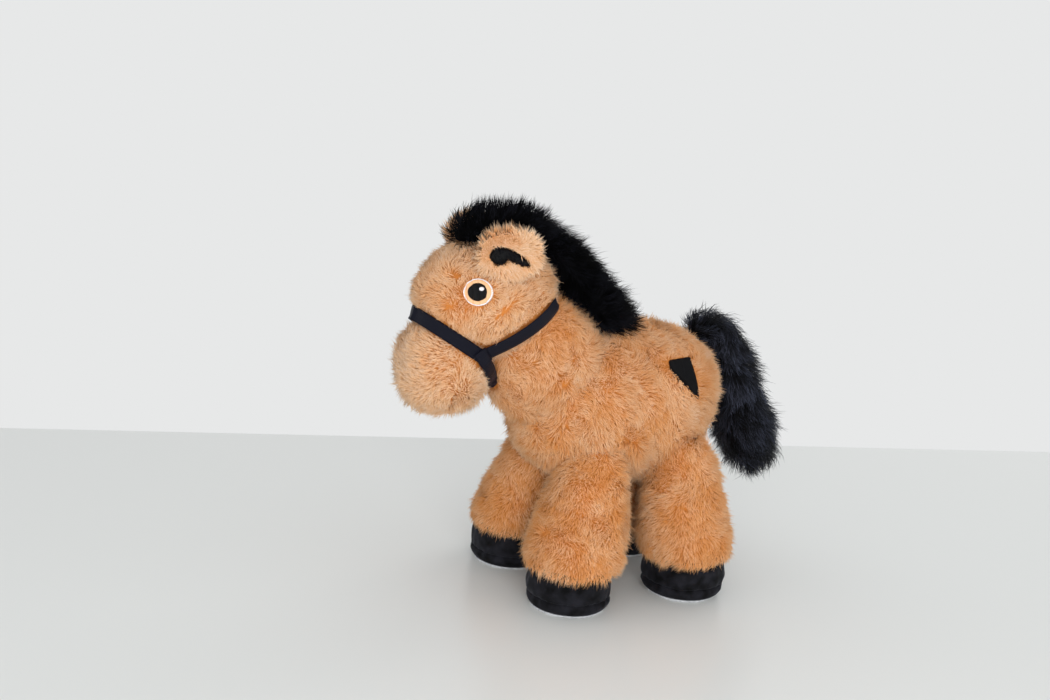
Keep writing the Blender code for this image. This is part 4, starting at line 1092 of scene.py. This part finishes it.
def build_body(head_lines, label_lines):
    """Torso, neck, head and muzzle: skins and tan pile."""
    neck_blend = (
        "head", "body",
        tuple(HEAD_JOINT - NECK_AHEAD * 8 * MM), tuple(NECK_BASE + NECK_AHEAD * 25 * MM),
    )
    torso, neck = drawn_in("torso", TORSO), drawn_in("neck", NECK)
    head, muzzle = drawn_in("head", HEAD), drawn_in("muzzle", MUZZLE)
    legs, ears = drawn_in("leg", *LEGS.values()), drawn_in("ear", *EARS.values())
    crest, mane = [(CREST, 9 * MM)], [(FORELOCK, 7 * MM), (CREST, 7 * MM)]
    stuffed("torso", TORSO, "torso", "body")
    stuffed("neck", NECK, "neck", "body", neck_blend)
    stuffed("head", HEAD, "head", "head")
    stuffed("muzzle", MUZZLE, "muzzle", "head")
    tan_pile("torso", TORSO, "torso", "body", neck + legs + crest,
             flow=BACK * 0.35 + DOWN * 0.75, swirl=0.75, seed=11, clear=label_lines, drape=LEGS.values())
    neck_lines = [(line, wide - 1.4 * MM) for line, wide in head_lines]
    tan_pile("neck", NECK, "neck", "body", torso + head + muzzle + crest, neck_blend,
             flow=BACK * 0.3 + DOWN * 0.8, swirl=0.8, seed=23, clear=neck_lines, parting=3 * MM)
    # The head's and the muzzle's higher tones are partly painted light, where they catch more light than
    # the body, and partly their paler, brushed pile.
    tan_pile("head", HEAD, "head", "head", neck + muzzle + mane + ears,
             flow=BACK * 0.5 + DOWN * 0.35, swirl=0.75, seed=37, clear=head_lines, length=8 * MM, tone=0.64)
    fan_middle = MUZZLE_CENTRE + np.array((5, 0, -8)) * MM

    def fan(root):
        return 1.4 * unit((root - fan_middle) * (1, 0, 1))

    tan_pile("muzzle", MUZZLE, "muzzle", "head", head + neck,
             flow=fan, swirl=0.8, seed=41, clear=head_lines, tone=0.86)


def build_leg(key, seed):
    """A leg's skin and pile, and the hoof under its hem."""
    name = "leg_" + "_".join(key)
    hip = HIPS[key]
    blend = (name, "body", tuple(hip - UP * 28 * MM), tuple(hip + UP * 22 * MM))
    stuffed(name, LEGS[key], "leg", name, blend)
    tan_pile(name, LEGS[key], "leg", name, drawn_in("torso", TORSO), blend, flow=DOWN * 1.1, swirl=0.55,
             seed=seed, tone=0.20)
    build_hoof(key)


# The wedge in an ear's cup: how far out its spine lies, the spine as shares of the ear's length and
# height, and its half sizes along it
MARK_OUT = 4.6 * MM
MARK_SHARES = ((-0.20, 0.16), (-0.17, 0.0), (-0.06, 0.04), (0.08, -0.03), (0.20, -0.10), (0.30, -0.16))
MARK_THICK = np.array((0.9, 1.1, 1.0, 1.0, 0.9, 0.6)) * 2.6 * MM
MARK_TALL = np.array((5.0, 8.0, 4.2, 3.4, 3.0, 2.0)) * MM


def build_ear(side):
    """An ear: a cupped pad with pile that fans out over its rim, and the stitched wedge in its cup, with a
    short nap of thread."""
    ear, body, mark_name = EARS[side], f"ear_{side}", f"ear_mark_{side}"
    stuffed(body, ear, "ear", body)
    out = np.array((0.0, SIDES[side], 0.0))
    spine = route(ear.middle + out * MARK_OUT, EAR_SIZE, MARK_SHARES)
    mark = Form(spine, MARK_THICK, MARK_TALL, (3.0, 2.2), turn=ear.turn)
    mark.middle = ear.middle
    piece = skin(f"{mark_name}_stitched", mark, 0.0, "black", 30, 24, 0.15 * MM)
    place_piece(piece, body, BLACK_THREAD, mark_name)
    cloud = mark.surface(*np.meshgrid(np.linspace(0.03, 0.97, 16), circle(12)), 1.6 * MM).reshape(-1, 3)
    pile(f"{mark_name}_thread", mark, look="mane", inset=0.6 * MM, length=2.4 * MM, lean=0.9,
         flow=out + UP * 0.4, swirl=0.8, density=2.4e6, radius=0.24 * MM, seed=67, tone=0.5,
         body=body, slot=BLACK_THREAD, node=mark_name)

    def fan(root):
        return 0.75 * unit(root - ear.middle) + 0.5 * UP + 0.35 * BACK

    tan_pile(body, ear, "ear", body, drawn_in("head", HEAD), flow=fan, swirl=0.75, stray=0.45, seed=61,
             clear=[(cloud, 2.5 * MM)], parting=2.5 * MM, length=8.6 * MM, lean=0.86, density=2.2e6,
             radius=0.31 * MM, tone=0.85, mottle=0.14)


LONG_PILE = dict(look="mane", density=9e5, steps=3, radius=0.22 * MM, tuft=8, gather=0.45, stray=0.45,
                 spread=1.8 * MM, ragged=(0.7, 1.35), tone=0.3, mottle=0.24)
CORE_INSET = 7 * MM


def long_core(name, form, body, blend=None):
    """The backing under long pile, which stands for its solid."""
    core = skin(f"{name}_core", form, CORE_INSET, "pile_backing")
    place_piece(core, body, LONG_BLACK, name, blend, fill=0.5)


def long_pile(name, form, body, others, blend=None, **own):
    """Long black pile on a core, with roots outside the others. Its own values go before LONG_PILE's."""
    pile(f"{name}_pile", form, inset=CORE_INSET, others=others, body=body, slot=LONG_BLACK, node=name,
         blend=blend, **{**LONG_PILE, **own})


def build_mane():
    """The mane in two lengths: cores of backing with long pile that stands out and leans back."""
    blend = ("head", "body", tuple(HEAD_JOINT + (-0.005, 0, 0.045)), tuple(HEAD_JOINT + (0.05, 0, 0.01)))
    long_core("mane_forelock", FORELOCK, "head")
    long_core("mane_crest", CREST, "body", blend)
    long_pile("mane_forelock", FORELOCK, "head", [(HEAD, 9 * MM)], length=13.5 * MM, lean=0.70,
              flow=BACK * 0.7 + UP * 0.2, swirl=0.55, seed=71)
    long_pile("mane_crest", CREST, "body", [(HEAD, 9 * MM), (NECK, 10 * MM), (TORSO, 10 * MM)], blend,
              length=15 * MM, lean=0.72, flow=BACK * 0.7 + DOWN * 0.25, swirl=0.55, seed=83)


def build_tail():
    """The tail: a core with long pile that lies down its length and grows longer to its end."""
    long_core("tail", TAIL, "tail")
    middle = TAIL.centre_line(np.linspace(0, 1, 40))
    along = unit(np.gradient(middle, axis=0))
    lower = unit(TAIL.spine[-1] - TAIL.spine[-3])

    def from_root(root):
        return np.linalg.norm(root - TAIL_ROOT, axis=1)

    def fall(root):
        nearest = ((root[:, None] - middle[None]) ** 2).sum(axis=-1).argmin(axis=1)
        near = np.clip(1 - from_root(root) / (30 * MM), 0, 1)[:, None]
        return along[nearest] + 0.25 * lower + near * (UP + BACK)

    def lengths(root):
        return np.interp(from_root(root) / TAIL_LENGTH, (0.05, 0.25, 0.75, 0.95), (9, 15, 15, 20)) * MM

    # The wide mottle scatters the painted highlight of the light tone into streaks.
    long_pile("tail", TAIL, "tail", [(TORSO, 9 * MM)], look="tail", length=lengths, lean=1.08, flow=fall,
              swirl=0.35, seed=97, tone=0.36, mottle=0.38)


# Camera, table and wall; the camera and the far edge of the table are set from the head's joint, in metres
CAMERA_OFFSET = (-0.55042, -1.0141, 0.24758)
CAMERA_RIGHT = (0.8825, -0.4620, 0.0881)
CAMERA_UP = (0.0330, 0.2478, 0.9683)
CAMERA_BACK = (-0.4691, -0.8516, 0.2339)
TABLE_EDGE = ((-0.32272, 0.515), (0.85328, 0.181))
TABLE_REACH = 4.0
WALL_GAP, WALL_DROP, WALL_HEIGHT = 3.0, 3.5, 8.0
# Name, place, size and power in watts
LAMPS = (("key", (-0.8, -1.7, 0.35), 1.3, 35.0), ("fill", (1.3, 0.6, 1.2), 1.0, 4.5))


def build_camera():
    """A 50 mm lens at the photograph's place, rolled a little as it was held."""
    data = bpy.data.cameras.new("camera")
    data.lens = 50
    data.sensor_width = 36
    camera = new_object("camera", data)
    rows = zip(CAMERA_RIGHT, CAMERA_UP, CAMERA_BACK, HEAD_JOINT + CAMERA_OFFSET)
    camera.matrix_world = Matrix([*rows, (0, 0, 0, 1)])
    bpy.context.scene.camera = camera


def stage_material(name, colour, roughness, seen):
    """A plain paint that the camera and glossy rays see as one even colour where seen is above zero."""
    made, tree, shader = new_material(name, Roughness=roughness, Base_Color=linear(colour))
    if seen:
        path = add(tree, "LightPath").outputs
        rays = {0: path["Is Camera Ray"], 1: path["Is Glossy Ray"]}
        either = add(tree, "Math", {"operation": "MAXIMUM"}, rays).outputs["Value"]
        even = {"Color": linear(colour), "Strength": seen}
        plain = add(tree, "Emission", inputs=even).outputs["Emission"]
        mix = add(tree, "MixShader", inputs={0: either, 1: shader.outputs["BSDF"], 2: plain})
        tree.links.new(mix.outputs["Shader"], tree.nodes["Material Output"].inputs["Surface"])
    return made


def stage_plane(name, left, right, rise, look):
    """A flat piece of the stage between two corners and the same two moved by a rise."""
    corners = [tuple(map(float, corner)) for corner in (left, right, right + rise, left + rise)]
    mesh = bpy.data.meshes.new(name)
    mesh.from_pydata(corners, [], [(0, 1, 2, 3)])
    mesh.materials.append(look)
    plane = new_object(name, mesh)


def build_stage():
    """A pale table that ends behind the horse, and an even wall far beyond it."""
    first, second = (np.array((HEAD_JOINT[0] + x, y, 0.0)) for x, y in TABLE_EDGE)
    along = unit(second - first)
    toward = np.array((along[1], -along[0], 0.0))
    reach = along * TABLE_REACH
    table = stage_material("pale_table_top", "DCDDD9", 0.3, 0)
    stage_plane("floor", first - reach, second + reach, toward * TABLE_REACH, table)
    back = -toward * WALL_GAP - UP * WALL_DROP
    wall = stage_material("pale_wall", "E7E8E8", 0.9, 1.0)
    stage_plane("backdrop", first - 2 * reach + back, second + 2 * reach + back, UP * WALL_HEIGHT, wall)


def build_light():
    """Soft daylight: a pale world, a broad lamp from the upper left and front, and a weak one behind.
    Neither lamp is seen in glossy surfaces, so that the table has no glare from any side."""
    world = bpy.data.worlds.new("studio")
    world.use_nodes = True
    sky = world.node_tree.nodes["Background"]
    sky.inputs["Color"].default_value = linear("F4F6FA")
    sky.inputs["Strength"].default_value = 0.86
    bpy.context.scene.world = world
    for name, place, size, power in LAMPS:
        data = bpy.data.lights.new(name, "AREA")
        data.size = size
        data.energy = power
        lamp = new_object(name, data)
        lamp.location = place
        lamp.rotation_mode = "QUATERNION"
        lamp.rotation_quaternion = Vector(TORSO_CENTRE - np.array(place)).to_track_quat("-Z", "Y")
        lamp.visible_glossy = False
    bpy.context.scene.view_settings.view_transform = "Standard"


def build_horse():
    """All pieces of the horse. Eyes, halter and label come first, because the pile keeps clear of them."""
    eyes = [(build_eye(side), EYE_CLEAR) for side in SIDES]
    head_lines = build_halter() + eyes
    build_body(head_lines, build_label())
    for number, key in enumerate(LEGS):
        build_leg(key, 101 + 10 * number)
    for side in SIDES:
        build_ear(side)
    build_mane()
    build_tail()


build_horse()
build_camera()
build_stage()
build_light()
